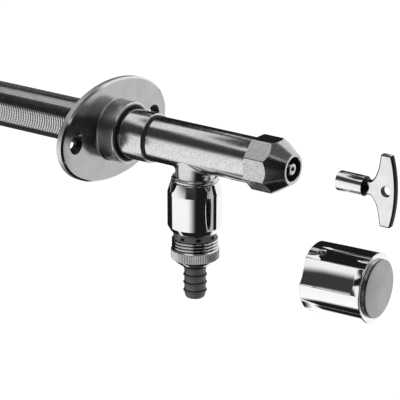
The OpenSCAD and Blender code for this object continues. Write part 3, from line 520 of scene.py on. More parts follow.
for side in (-SCREW_OUT, SCREW_OUT):
    screw_line = (Vector((0, side, 0)), Vector((1, 0, 0)), Vector((0, 0, 1)))
    cut(flange, turned("screw_drill", screw_line, [
        (0, -PAST), (SCREW_R, -PAST), (SCREW_R, PLATE - SCREW_SINK), (SCREW_SINK_R, PLATE - 0.12),
        (SCREW_SINK_R + 0.25, PLATE), (SCREW_SINK_R + 0.4, PLATE + 2 * PAST), (0, PLATE + 2 * PAST)], 64))
only_selected(flange)
bpy.ops.object.mode_set(mode="EDIT")
bpy.ops.mesh.select_all(action="SELECT")
bpy.ops.mesh.dissolve_degenerate(threshold=0.01 * MM)
closed_up()
painted(flange, [satin_plate, polished_rim_painted_highlight, black_edges_and_painted_shade, satin_rim_painted_light, grainy_hub_painted_shade], flange_finish_and_painted_light)
mounted(flange, satin_plate, "tap", "wall_flange", 20)


# Sleeve between flange and body

sleeve = turned("threaded_sleeve", TAP_LINE, rounded([
    (TUBE_HOLE, SLEEVE_BACK), (SLEEVE_R, SLEEVE_BACK, 0.3), (SLEEVE_R, SLEEVE_END, 0.7),
    (SPIGOT_HOLE, SLEEVE_END, 0.3), (SPIGOT_HOLE, SLEEVE_FLOOR), (TUBE_HOLE, SLEEVE_FLOOR)], 5))
mounted(sleeve, blasted_chrome, "tap", "adapter_sleeve")


# Body with its branch, which runs into it in a round

SPIGOT_BACK, SPIGOT_ROOT = 21.2, 11.9
DRILL_TOP, DRILL_FOOT = 5, 30
body_tube = turned("tap_body", TAP_LINE, rounded(
    [(BODY_BORE, SPIGOT_BACK, 0.3), (SPIGOT_R, SPIGOT_BACK, 0.4)]
    + seal_groove(SPIGOT_R, SPIGOT_ROOT, (SLEEVE_FLOOR + SLEEVE_END) / 2)
    + [(SPIGOT_R, BODY_START), (BODY_R, BODY_START, 0.55), (BODY_R, BODY_END, 0.25)]
    + thread_rings(HEAD_THREAD_R, HEAD_THREAD_ROOT, TUBE_PITCH, BODY_END, GLAND_FACE)
    + [(HEAD_THREAD_ROOT, GLAND_FACE), (BODY_BORE, GLAND_FACE, 0.2)], 5))
cut(body_tube, turned("branch_drill", OUTLET_LINE, [
    (0, DRILL_TOP), (BRANCH_BORE, DRILL_TOP), (BRANCH_BORE, DRILL_FOOT), (0, DRILL_FOOT)], 96))


def branch_spot(turn, ring):
    """A spot on the branch: at a radius and a drop, on the skirt inside the body, or on the round between."""
    kind, a, b = ring
    across, over = NECK_R + ROUND_R, BODY_R + ROUND_R
    c, s = math.cos(turn), math.sin(turn)
    if kind == "straight":
        return Vector((OUTLET_X + a * c, a * s, -b))
    if kind == "skirt":
        y = (across + a) * s * BODY_R / over
        drop = math.sqrt(max(BODY_R ** 2 - y * y, 0))
        return Vector((OUTLET_X + (across + a) * c, y * b / BODY_R, -drop * b / BODY_R))
    ball = Vector((OUTLET_X + across * c, across * s, -math.sqrt(over * over - (across * s) ** 2)))
    on_body = Vector((0, -ball.y, -ball.z)).normalized()
    on_neck = Vector((-c, -s, 0))
    return ball + on_body.slerp(on_neck, a) * ROUND_R


bead = (COLLAR_FOOT - COLLAR_TOP) / 2
bead_turns = [math.pi * k / 10 for k in range(11)]
neck_rings = [(NECK_R, COLLAR_TOP - 0.5), (NECK_R + 0.15, COLLAR_TOP - 0.15), (NECK_R + 0.5, COLLAR_TOP)]
neck_rings += [(COLLAR_R - bead + bead * math.sin(turn), COLLAR_TOP + bead - bead * math.cos(turn))
               for turn in bead_turns]
neck_rings += [(PIPE_ROOT, COLLAR_FOOT)]
neck_rings += thread_rings(PIPE_R, PIPE_ROOT, PIPE_PITCH, COLLAR_FOOT + SEAL_WIRE, BRANCH_FOOT)
neck_rings += [(PIPE_ROOT, BRANCH_FOOT), (BRANCH_BORE, BRANCH_FOOT), (BRANCH_BORE, BRANCH_TOP)]
branch_rings = [("straight", BRANCH_BORE, BRANCH_TOP)]
branch_rings += [("skirt", 0.9, BODY_R - 0.35), ("skirt", 0.8, BODY_R - 0.012)]
branch_rings += [("round", k / 12, 0) for k in range(13)]
branch_rings += [("straight", radius, drop) for radius, drop in neck_rings]
branch = lofted("tap_branch", 192, branch_rings, branch_spot)
mounted(joined(body_tube, branch), blasted_chrome, "tap", "body")


# Eight-sided head nut with its cone and nose

NUT_R, NUT_BORE, NUT_CONE, NOSE_R, NOSE_BORE = 18.1, HEAD_THREAD_R + THREAD_FIT, 13.07, 10.0, 7.85


def nut_finish_and_recess_shade(face):
    station, wide, high = face.center / MM
    # The nose's bore is painted black: painted shade in the recess
    in_recess = math.hypot(wide, high) < NOSE_BORE + 0.15 and station > GLAND_FRONT - PAST
    return black_rubber if in_recess else blasted_nut


nut = bar("head_nut_octagon", 8, NUT_R, BODY_END + FIT, NOSE_END, math.radians(22.5), 0.35)
cut(nut, turned("nut_cone", TAP_LINE, rounded([
    (0, BODY_END - PAST), (NUT_R - 0.5, BODY_END - PAST), (NUT_R - 0.5, BODY_END + FIT),
    (NUT_R + PAST, BODY_END + 1.2), (NUT_R + PAST, BODY_END + NUT_CONE), (NOSE_R, NOSE_END, 0.6),
    (0, NOSE_END)], 5)), "INTERSECT")
cut(nut, turned("nut_drill", TAP_LINE, [
    (0, BODY_END - 3 * PAST), (NUT_BORE, BODY_END - 3 * PAST), (NUT_BORE, GLAND_FRONT + FIT),
    (NOSE_BORE, GLAND_FRONT + FIT), (NOSE_BORE, NOSE_END - 0.35), (NOSE_BORE + 0.35, NOSE_END),
    (NOSE_BORE + 1.15, NOSE_END + PAST), (0, NOSE_END + PAST)], 128))
painted(nut, [blasted_nut, black_rubber], nut_finish_and_recess_shade)
mounted(nut, blasted_nut, "tap", "head_nut", 22)


# Spindle: round journal with its grooves, and a square end for the key

SPINDLE_R, THRUST_R, ROD_HOLE_R, SPINDLE_ROOT, CLIP_ROOT = 6.0, 9.0, 4.05, 4.45, 5.0
SOCKET_BACK, THRUST_BACK, THRUST_FRONT, SQUARE_BACK, SQUARE_END = 99.5, 117.5, 120.0, 137.1, 145.1
SPINDLE_SEALS, CLIP_WIDE = (124.33, 127.67), 1.0
SQUARE_WIDE, SQUARE_CORNER_R, PIN_R, TAP_R, TAP_DEEP = 7.0, 4.6, 1.3, 1.3, 7.6
journal = [(ROD_HOLE_R, SOCKET_BACK), (SPINDLE_R, SOCKET_BACK), (SPINDLE_R, THRUST_BACK),
           (THRUST_R, THRUST_BACK), (THRUST_R, THRUST_FRONT), (SPINDLE_R, THRUST_FRONT)]
for middle in SPINDLE_SEALS:
    journal += seal_groove(SPINDLE_R, SPINDLE_ROOT, middle)
clip_back = GLAND_FRONT + FIT
clip_front = clip_back + CLIP_WIDE
journal += [(SPINDLE_R, clip_back), (CLIP_ROOT, clip_back), (CLIP_ROOT, clip_front), (SPINDLE_R, clip_front),
            (SPINDLE_R, SQUARE_BACK - 0.4), (SPINDLE_R - 0.4, SQUARE_BACK), (0, SQUARE_BACK),
            (0, THRUST_BACK), (ROD_HOLE_R, THRUST_BACK)]
spindle = turned("square_spindle", TAP_LINE, journal, 128)
pin_line = (Vector(((SOCKET_BACK + THRUST_BACK) / 2, 0, 0)), Vector((0, 1, 0)), Vector((0, 0, 1)))
pin_reach = SPINDLE_R + 2 * PAST
cut(spindle, turned("pin_drill", pin_line, [
    (0, -pin_reach), (PIN_R, -pin_reach), (PIN_R, pin_reach), (0, pin_reach)], 48))
square = bar("square_end", 4, SQUARE_WIDE / math.sqrt(2), SQUARE_BACK - 0.2, SQUARE_END,
             math.radians(45), 0.4)
cut(square, turned("square_round", TAP_LINE, rounded([
    (0, SQUARE_BACK - PAST), (SQUARE_CORNER_R, SQUARE_BACK - PAST), (SQUARE_CORNER_R, SQUARE_END - 1.3, 1.0),
    (SQUARE_WIDE / 2, SQUARE_END, 0.5), (0, SQUARE_END)], 4), 96), "INTERSECT")
cut(square, turned("screw_tap", TAP_LINE, [
    (0, SQUARE_END - TAP_DEEP), (TAP_R, SQUARE_END - TAP_DEEP), (TAP_R, SQUARE_END - 0.6),
    (TAP_R + 0.6, SQUARE_END), (TAP_R + 0.6 + PAST, SQUARE_END + PAST), (0, SQUARE_END + PAST)], 48))
mounted(joined(spindle, square), nose_steel, "stem", "spindle")


# Vacuum breaker's polished barrel

BARREL_R, BARREL_TOP_R, BARREL_WAIST_R, BARREL_FOOT_R, BARREL_BORE = 18.0, 15.6, 16.2, 14.4, 12.7
BARREL_TOP, BARREL_CHAMBER = COLLAR_FOOT + FIT, BRANCH_FOOT + FIT
TAPER_FOOT, STRAIGHT_FOOT, BARREL_WAIST, BARREL_FOOT = 29.65, 52.15, 55.33, 57.45
barrel_thread = PIPE_R + THREAD_FIT
seal_room = PIPE_ROOT + SEAL_WIRE
barrel = turned("breaker_barrel", OUTLET_LINE, rounded([
    (seal_room, BARREL_TOP), (BARREL_TOP_R, BARREL_TOP, 0.35), (BARREL_R, TAPER_FOOT, 0.30),
    (BARREL_R, STRAIGHT_FOOT, 0.35), (BARREL_WAIST_R, BARREL_WAIST, 0.6), (BARREL_FOOT_R, BARREL_FOOT, 0.25),
    (BARREL_BORE, BARREL_FOOT), (BARREL_BORE, BARREL_CHAMBER), (barrel_thread, BARREL_CHAMBER),
    (barrel_thread, BARREL_TOP + SEAL_WIRE), (seal_room, BARREL_TOP + SEAL_WIRE)], 5), 256)
mounted(barrel, mirror_chrome, "tap", "breaker_housing", 12)


# Union nut: grip ribs, knurled band, and a cone that runs to the tail

UNION_TOP, UNION_BORE, UNION_FLOOR, UNION_FOOT = 61.2, 13.37, 76.65, 79.05
GRIP_RIBS, GRIP_STEP, CONE_R, TAIL_HOLE = 3, 2.1, 10.75, 8.15
BAND_TOP, BAND_FOOT, BAND_IN, BAND_CORE, BAND_EDGE = 68.85, 75.05, 14.9, 15.2, 0.3
TOOTH_ROOT, TOOTH_HIGH, TEETH = 15.55, 0.35, 84


def union_finish(face):
    wide, deep, high = face.center / MM
    on_grip = -high < BAND_TOP - 0.55 and math.hypot(wide - OUTLET_X, deep) > GRIP_ROOT - 0.6
    return ribbed_chrome_root_shade if on_grip else turned_chrome


def band_spot(turn, ring):
    """A spot on the band: on its teeth, less a chamfer, or on its plain inside."""
    drop, chamfer, toothed = ring
    radius = BAND_IN
    if toothed:
        tooth = abs((turn * TEETH / TURN) % 1 - 0.5) * 2
        radius = TOOTH_ROOT + TOOTH_HIGH * min(1, max(0, 1.5 * tooth - 0.25)) - chamfer
    return Vector((OUTLET_X + radius * math.cos(turn), radius * math.sin(turn), -drop))


grip_side = [(GRIP_ROOT + 0.02, 0.80), (GRIP_CREST - 0.25, 0.43), (GRIP_CREST - 0.06, 0.23)]
union_outline = [(UNION_BORE, UNION_TOP)]
for rib in range(GRIP_RIBS):
    crest = UNION_TOP + GRIP_STEP * (rib + 0.5)
    union_outline += [(GRIP_ROOT, crest - GRIP_STEP / 2)]
    union_outline += [(radius, crest - away) for radius, away in grip_side]
    union_outline += [(GRIP_CREST, crest)]
    union_outline += [(radius, crest + away) for radius, away in reversed(grip_side)]
union_outline += [(GRIP_ROOT, UNION_TOP + GRIP_STEP * GRIP_RIBS), (GRIP_ROOT, BAND_TOP - 0.65),
                  (BAND_CORE, BAND_TOP), (BAND_CORE, BAND_FOOT), (BAND_CORE - 0.1, BAND_FOOT + 0.3),
                  (CONE_R + 0.2, UNION_FOOT - 0.15), (CONE_R, UNION_FOOT), (TAIL_HOLE + 0.2, UNION_FOOT),
                  (TAIL_HOLE, UNION_FOOT - 0.2), (TAIL_HOLE, UNION_FLOOR), (UNION_BORE, UNION_FLOOR)]
union = turned("union_nut_core", OUTLET_LINE, union_outline)
band_rings = [(BAND_TOP, 0, False), (BAND_TOP, TOOTH_HIGH, True), (BAND_TOP + BAND_EDGE, 0, True),
              (BAND_FOOT - BAND_EDGE, 0, True), (BAND_FOOT, TOOTH_HIGH, True), (BAND_FOOT, 0, False)]
band_rings.append(band_rings[0])
band = lofted("union_band", 8 * TEETH, band_rings, band_spot)
painted(union, [turned_chrome, ribbed_chrome_root_shade], union_finish)
band.data.materials.append(knurled_chrome)
mounted(joined(union, band), turned_chrome, "nut", "union_nut", 38)


# Check valve's spring, wound over the length of its node and carried with the poppet

SPRING_R, WIRE_R, SPRING_TURNS, COIL_STEPS, CHECK_TRAVEL = 3.4, 0.35, 4, 24, 3.5
spring_low, spring_high = (corner[2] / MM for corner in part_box("check_spring"))


def wire_spot(turn, ring):
    coil = TURN * ring / COIL_STEPS
    radius = SPRING_R + WIRE_R * math.cos(turn)
    climb = (spring_high - spring_low - 2 * WIRE_R) * ring / (SPRING_TURNS * COIL_STEPS)
    return Vector((OUTLET_X + radius * math.cos(coil), radius * math.sin(coil),
                   spring_low + WIRE_R + climb + WIRE_R * math.sin(turn)))


spring = lofted("coil_spring", 10, range(SPRING_TURNS * COIL_STEPS + 1), wire_spot)
bpy.ops.object.mode_set(mode="EDIT")
bpy.ops.mesh.select_all(action="SELECT")
bpy.ops.mesh.fill_holes(sides=10)
closed_up()
mounted(spring, stainless, "poppet", "check_spring")
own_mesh(spring)


# Ribbed hose tail

TAIL_R, TAIL_BORE, TAIL_TOP, TAIL_RIM, TAIL_RIM_R, TAIL_FOOT = 7.1, 4.6, 73.6, 76.6, 13.07, 102.84
RIBS, FIRST_RIB, RIB_STEP, RIB_GROOVE = 4, 81.55, 5.43, 6.75
# A rib from the groove above it down to the plain tail, as (radius, distance from its middle)
RIB_SIDE = [(TAIL_R, -1.15), (RIB_GROOVE, -1.0), (RIB_GROOVE, -0.62), (7.6, -0.36), (7.78, -0.12),
            (7.85, 0.08), (7.82, 0.26), (7.66, 0.42), (7.3, 0.62), (7.14, 0.9)]
# The tail's rounded end, as (radius, distance from its foot)
TAIL_TIP = [(7.0, -3.24), (6.7, -1.74), (6.35, -0.84), (5.9, -0.24), (5.5, 0), (4.8, 0), (TAIL_BORE, -0.24)]


def tail_finish_and_groove_shade(face):
    wide, deep, high = face.center / MM
    # The groove above each rib and its sides are painted black: painted shade
    above_rib = (-high - FIRST_RIB + 1.2) % RIB_STEP < 0.9 and -99 < high < -80
    in_groove = 6 < math.hypot(wide - OUTLET_X, deep) < TAIL_R + 0.1
    return black_plastic if above_rib and in_groove else dark_plastic


tail_outline = [(TAIL_BORE, TAIL_TOP), (TAIL_RIM_R, TAIL_TOP), (TAIL_RIM_R, TAIL_RIM), (TAIL_R, TAIL_RIM)]
for rib in range(RIBS):
    tail_outline += [(radius, FIRST_RIB + RIB_STEP * rib + away) for radius, away in RIB_SIDE]
tail_outline += [(radius, TAIL_FOOT + away) for radius, away in TAIL_TIP]
tail = turned("ribbed_tail", OUTLET_LINE, tail_outline, 128)
painted(tail, [dark_plastic, black_plastic], tail_finish_and_groove_shade)
mounted(tail, dark_plastic, "tail", "hose_tail", 35)


# Socket key with its wing

WING_TOP, WING_BOW, TIP_W, WING_T, WING_EDGE = 23.5, 3.5, 7.8, 4.2, 1.0
KEY_R, KEY_NECK, KEY_SQUARE, KEY_DEEP = 6.4, 4.6, 7.3, 10.0
HOLE_X, HOLE_R, HOLE_LIP = 215.0, 3.25, 0.35


def curve(p, c, q, steps):
    p, c, q = Vector(p), Vector(c), Vector(q)
    return [(1 - t) ** 2 * p + 2 * t * (1 - t) * c + t * t * q for t in (i / steps for i in range(steps + 1))]


def wing_finish(face):
    on_end = face.normal.z > 0.9 and face.center.z > (WING_TOP - 0.6) * MM
    return black_edges_and_painted_shade if abs(face.normal.y) < 0.985 and not on_end else key_nickel


def socket_finish_and_shade(face):
    # Painted shade on the shoulder where the socket meets the wing
    on_shoulder = face.normal.x > 0.3 and face.center.x > KEY_SHOULDER * MM
    return black_edges_and_painted_shade if on_shoulder else key_barrel


corner = TIP_W / 6
tip_front = WING_FRONT - WING_BOW
tip_back = tip_front - TIP_W
tip_low = WING_TOP - corner
bow_r = (WING_TOP ** 2 + WING_BOW ** 2) / (2 * WING_BOW)
bow_turn = math.asin(tip_low / bow_r)
bow_centre = WING_FRONT - bow_r
bow_end = bow_centre + bow_r * math.cos(bow_turn)
upper = [Vector((KEY_SHOULDER, KEY_NECK))]
upper += curve((WING_BACK, KEY_NECK), (WING_BACK + 5.43, 7.83), (tip_back, tip_low), 16)
upper += curve((tip_back, tip_low), (tip_back + corner / 4, WING_TOP), (tip_back + corner, WING_TOP), 6)[1:]
upper += curve((tip_front - corner, WING_TOP), (tip_front, WING_TOP), (bow_end, tip_low), 6)
for turn in (bow_turn * (1 - k / 14) for k in range(1, 15)):
    upper.append(Vector((bow_centre + bow_r * math.cos(turn), bow_r * math.sin(turn))))
lower = [Vector((p.x, -p.y)) for p in reversed(upper[:-1])]
rim_points = [Vector((p.x, -WING_T / 2, p.y)) for p in upper + lower]
wing = drawn("winged_key", rim_points + rim_points[:1])
bpy.ops.mesh.select_all(action="SELECT")
bpy.ops.mesh.remove_doubles(threshold=WELD)
bpy.ops.mesh.edge_face_add()
bpy.ops.mesh.extrude_region_move(TRANSFORM_OT_translate={"value": (0, WING_T * MM, 0)})
bpy.ops.mesh.select_all(action="SELECT")
bpy.ops.mesh.normals_make_consistent(inside=False)
bpy.ops.mesh.select_all(action="DESELECT")
bpy.ops.mesh.select_mode(type="EDGE")
wing_mesh = bmesh.from_edit_mesh(wing.data)
for rim in wing_mesh.edges:
    rim.select_set(abs(rim.verts[0].co.y - rim.verts[1].co.y) < WELD)
bmesh.update_edit_mesh(wing.data)
bpy.ops.mesh.bevel(offset=WING_EDGE * MM, segments=3, affect="EDGES")
bpy.ops.mesh.select_mode(type="VERT")
closed_up()
hole_line = (Vector((HOLE_X, 0, 0)), Vector((0, 1, 0)), Vector((0, 0, 1)))
hole_side = [(HOLE_R + 0.65, 4), (HOLE_R + HOLE_LIP, WING_T / 2), (HOLE_R, WING_T / 2 - HOLE_LIP)]
hole_outline = [(0, -4)] + [(radius, -away) for radius, away in hole_side] + hole_side[::-1] + [(0, 4)]
cut(wing, turned("wing_drill", hole_line, hole_outline, 64))
painted(wing, [key_nickel, black_edges_and_painted_shade], wing_finish)
socket = turned("key_socket", TAP_LINE, rounded([
    (0, KEY_BACK), (KEY_R, KEY_BACK, 0.35), (KEY_R, KEY_SHOULDER, 0.15),
    (WING_T / 3, WING_BACK), (0, WING_BACK)]), 128)
cut(socket, bar("key_broach", 4, KEY_SQUARE / math.sqrt(2), KEY_BACK - PAST, KEY_BACK + KEY_DEEP,
                math.radians(45), 0.45))
painted(socket, [key_barrel, black_edges_and_painted_shade], socket_finish_and_shade)
mounted(joined(wing, socket), key_nickel, "key", "socket_key", 28)


# Knob: a fluted shell round a flat disc

FLUTES, FLUTE_HALF, FLUTE_WALL, FLUTE_STEP = (34, 154, 274), 23.0, 1.2, 0.05
FLUTE_R, FLUTE_STOP, RUN_OUT = 30.0, 3.0, 6.0
SHELL_FACE, SHELL_ROUND, SHELL_BORE, LEDGE_R, LEDGE_BACK = -2.4, 1.0, 18.7, 17.2, -10.0
DISC_R, DISC_BACK, DISC_LINE = 18.7, -4.0, 1.4
flute_edge = math.radians(FLUTE_HALF)
flute_centre = KNOB_R * math.cos(flute_edge) + math.sqrt(FLUTE_R ** 2 - (KNOB_R * math.sin(flute_edge)) ** 2)


def on_knob(turn, station, radius):
    origin, along, up = KNOB_LINE
    level = up.cross(along)
    return origin + along * station + (level * math.cos(turn) + up * math.sin(turn)) * radius


def flute_depth(turn):
    """Depth of the flutes at this turn: a hollow round floor between two low walls."""
    for middle in FLUTES:
        away = math.degrees(turn) % 360 - middle
        wall = (FLUTE_HALF - abs(away)) / FLUTE_WALL
        if wall > 0:
            off = math.radians(away)
            hollow = math.sqrt(FLUTE_R ** 2 - (flute_centre * math.sin(off)) ** 2)
            bottom = flute_centre * math.cos(off) - hollow
            return (KNOB_R - bottom + FLUTE_STEP) * min(1.0, wall)
    return 0.0


def knob_spot(turn, ring):
    station, radius, fluted = ring
    if not fluted:
        return on_knob(turn, station, radius)
    run = min(1.0, max(0.0, (-FLUTE_STOP - station) / RUN_OUT))
    return on_knob(turn, station, radius - flute_depth(turn) * run)


def disc_finish_and_shade(face):
    if abs(face.normal.x) >= 0.6:
        return satin_disc
    origin, along = KNOB_LINE[:2]
    # The disc's side nearest its face is painted black: painted shade between the shell and the disc
    behind = (origin * MM - face.center).dot(along) / MM
    return key_nickel if behind > DISC_LINE else black_plastic


shell_edge = [(0, 0.7), (0.1, 0.35), (0.35, 0.1), (0.7, 0)]
knob_rings = [(-KNOB_LEN + along, KNOB_R - inwards, True) for along, inwards in shell_edge]
knob_rings += [(station, KNOB_R, True) for station in (-30, -18)]
knob_rings += [(-FLUTE_STOP - RUN_OUT * share, KNOB_R, True) for share in (1.03, 1, 0.97, 0.5, 0.03, 0)]
plain_rings = [(SHELL_FACE - SHELL_ROUND * (1 - math.sin(turn)), KNOB_R - SHELL_ROUND * (1 - math.cos(turn)))
               for turn in quarter(8)]
plain_rings += [(SHELL_FACE, DISC_R + 0.3), (SHELL_FACE - 0.2, DISC_R + 0.1), (DISC_BACK - FIT, DISC_R + 0.1),
                (DISC_BACK - FIT, LEDGE_R), (LEDGE_BACK, LEDGE_R), (LEDGE_BACK, SHELL_BORE),
                (-KNOB_LEN + 0.4, SHELL_BORE), (-KNOB_LEN, SHELL_BORE + 0.4)]
knob_rings += [(station, radius, False) for station, radius in plain_rings]
knob_rings.append(knob_rings[0])
knob = lofted("fluted_knob", 720, knob_rings, knob_spot)
mounted(knob, mirror_chrome, "knob", "knob_shell", 28)
disc = turned("knob_end_disc", KNOB_LINE, rounded([
    (0, DISC_BACK), (DISC_R, DISC_BACK, 0.2), (DISC_R, -DISC_LINE), (DISC_R, 0, 0.45), (0, 0)], 5))
painted(disc, [satin_disc, black_plastic, key_nickel], disc_finish_and_shade)
mounted(disc, satin_disc, "knob", "knob_disc", 35)


# Inlet fitting behind the wall: hexagon, wound thread and plug

HEX_HALF, HEX_CONE_R, HEX_OUT, HEX_CONE, HEX_BORE = 14.0, 14.2, 17.0, 1.6, 8.5
PLUG_R, PLUG_BORE, PLUG_FRONT, PLUG_FLOOR, PLUG_SEAL, PLUG_ROOT = 12.4, 10.8, -158.0, -194.0, -197.0, 10.9
INLET_BORE, CORE_R, RAIL_MIDDLE, RAIL_SIZE = 7.0, 9.4, -160.5, (41, 25.4, 4.2)
hex_front = TUBE_BACK - FIT
inlet = bar("inlet_fitting", 6, HEX_HALF / math.cos(math.pi / 6), HEX_BACK, hex_front, 0, 0.3)
cut(inlet, turned("hexagon_cone", TAP_LINE, [
    (0, HEX_BACK - PAST), (HEX_CONE_R, HEX_BACK - PAST), (HEX_CONE_R, HEX_BACK),
    (HEX_OUT, HEX_BACK + HEX_CONE), (HEX_OUT, hex_front - HEX_CONE), (HEX_CONE_R, hex_front),
    (HEX_CONE_R, TUBE_BACK + PAST), (0, TUBE_BACK + PAST)], 128), "INTERSECT")
cut(inlet, turned("hexagon_drill", TAP_LINE, [
    (0, HEX_BACK - 2 * PAST), (HEX_BORE, HEX_BACK - 2 * PAST), (HEX_BORE, TUBE_BACK + 2 * PAST),
    (0, TUBE_BACK + 2 * PAST)], 128))
inlet_core = turned("inlet_core", TAP_LINE, rounded(
    [(INLET_BORE, INLET_BACK, 0.2), (PIPE_ROOT, INLET_BACK, 0.5), (PIPE_ROOT, HEX_BACK),
     (CORE_R, HEX_BACK + 0.1), (CORE_R, TUBE_BACK - 0.1), (PLUG_R, TUBE_BACK - 0.1)]
    + seal_groove(PLUG_R, PLUG_ROOT, PLUG_SEAL)
    + [(PLUG_R, PLUG_FRONT, 0.3), (PLUG_BORE, PLUG_FRONT, 0.3), (PLUG_BORE, PLUG_FLOOR),
       (INLET_BORE, PLUG_FLOOR)], 3), 128)
rail_spot = (RAIL_MIDDLE * MM, 0, 0)
nothing_selected()
bpy.ops.mesh.primitive_cube_add(size=MM, location=rail_spot)
rail_slot = named("rail_slot")
bpy.ops.object.mode_set(mode="EDIT")
bpy.ops.transform.resize(value=RAIL_SIZE, center_override=rail_spot)
bpy.ops.object.mode_set(mode="OBJECT")
bpy.ops.object.transform_apply(location=True, rotation=True, scale=True)
cut(inlet_core, rail_slot)
inlet_ridge = wound_thread("inlet_ridge", TAP_LINE, thread_ridge(
    PIPE_R, PIPE_ROOT, INLET_BACK + 0.3, 1.78, 0.15, 0.70, 0.82), PIPE_PITCH, 7)
mounted(joined(inlet, inlet_core, inlet_ridge), brass, "tap", "inlet_connector", 30)


# Finishes of the pieces that keep their own solids

kept = {
    black_rubber: ["wall_gasket", "hub_seal", "tube_o_ring", "joint_seal", "spigot_o_ring", "gland_o_ring",
                   "inlet_o_ring", "seat_washer", "outlet_o_ring", "poppet_seal", "air_ring", "union_gasket",
                   "spindle_o_rings"],
    brass: ["gland_bush", "stem_rod", "valve_plunger"],
    stainless: ["retaining_ring", "stem_pin", "washer_screw", "valve_seat", "knob_screw"],
    pale_plastic: ["check_cage", "thrust_washer"],
    blue_plastic: ["check_poppet"],
    dark_plastic: ["breaker_base"],
    black_plastic: ["knob_driver"],
}
for finish, names in kept.items():
    for name in names:
        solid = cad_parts[name]
        for place in solid.material_slots:
            place.material = finish


# Floor and world: white to the camera and in reflections, at a plain level for other light

def seen_directly(nodes, links):
    """One for camera, glossy and transmission rays, and zero for others."""
    path = nodes.new("ShaderNodeLightPath")
    first = nodes.new("ShaderNodeMath")
    first.operation = "MAXIMUM"
    second = nodes.new("ShaderNodeMath")
    second.operation = "MAXIMUM"
    links.new(path.outputs["Is Camera Ray"], first.inputs[0])
    links.new(path.outputs["Is Glossy Ray"], first.inputs[1])
    links.new(first.outputs["Value"], second.inputs[0])
    links.new(path.outputs["Is Transmission Ray"], second.inputs[1])
    return second.outputs["Value"]


SKY_LEVEL, FLOOR_LEVEL, FLOOR_TONE = 0.5, 0.68, 0.75
FLOOR_SIZE, FLOOR_HEIGHT = 28, -1.6
world = bpy.data.worlds.new("studio")
bpy.context.scene.world = world
world.use_nodes = True
sky, sky_links = world.node_tree.nodes, world.node_tree.links
sky_level = sky.new("ShaderNodeMapRange")
sky_level.inputs["To Min"].default_value = SKY_LEVEL
sky_level.inputs["To Max"].default_value = 1.0
sky_links.new(seen_directly(sky, sky_links), sky_level.inputs["Value"])
sky["Background"].inputs["Color"].default_value = (1, 1, 1, 1)
sky_links.new(sky_level.outputs["Result"], sky["Background"].inputs["Strength"])

nothing_selected()
bpy.ops.mesh.primitive_plane_add(size=FLOOR_SIZE, location=(0, 0, FLOOR_HEIGHT))
floor = named("floor")
pale = bpy.data.materials.new("pale_floor")
pale.use_nodes = True
pale_nodes, pale_links = pale.node_tree.nodes, pale.node_tree.links
pale_shader = pale_nodes["Principled BSDF"]
pale_shader.inputs["Base Color"].default_value = (FLOOR_TONE, FLOOR_TONE, FLOOR_TONE, 1)
pale_shader.inputs["Roughness"].default_value = 0.9
pale_shader.inputs["Specular IOR Level"].default_value = 0.0
pale_shader.inputs["Emission Color"].default_value = (1, 1, 1, 1)
pale_level = pale_nodes.new("ShaderNodeMapRange")
pale_level.inputs["To Min"].default_value = 0.0
pale_level.inputs["To Max"].default_value = FLOOR_LEVEL
pale_links.new(seen_directly(pale_nodes, pale_links), pale_level.inputs["Value"])
pale_links.new(pale_level.outputs["Result"], pale_shader.inputs["Emission Strength"])
floor.data.materials.append(pale)


# Dark and grey panels round the tap, which only reflections show

PANEL_CENTRE, PANEL_REACH, PANEL_STEP = Vector((0.07, 0, -0.02)), 1.5, 0.003
panels = []


def reflections_only(panel):
    panel.visible_camera = False
    panel.visible_diffuse = False
    panel.visible_shadow = False
    panel.visible_volume_scatter = False
    panel.visible_transmission = False


def cloth_base(name):
    """A cloth that shows its own tone, whatever the lamps do. Its share hides what is behind it."""
    cloth = bpy.data.materials.new(name)
    cloth.use_nodes = True
    nodes, links = cloth.node_tree.nodes, cloth.node_tree.links
    nodes.remove(nodes["Principled BSDF"])
    place = nodes.new("ShaderNodeTexCoord")
    split = nodes.new("ShaderNodeSeparateXYZ")
    links.new(place.outputs["UV"], split.inputs["Vector"])
    clear = nodes.new("ShaderNodeBsdfTransparent")
    tone = nodes.new("ShaderNodeEmission")
    share = nodes.new("ShaderNodeMixShader")
    links.new(clear.outputs["BSDF"], share.inputs[1])
    links.new(tone.outputs["Emission"], share.inputs[2])
    links.new(share.outputs["Shader"], nodes["Material Output"].inputs["Surface"])
    return cloth, nodes, links, split, tone, share


def faded(nodes, links, value, start, end):
    """Goes smoothly from zero at start to one at end."""
    fade = nodes.new("ShaderNodeMapRange")
    fade.interpolation_type = "SMOOTHSTEP"
    fade.inputs["From Min"].default_value = start
    fade.inputs["From Max"].default_value = end
    links.new(value, fade.inputs["Value"])
    return fade.outputs["Result"]


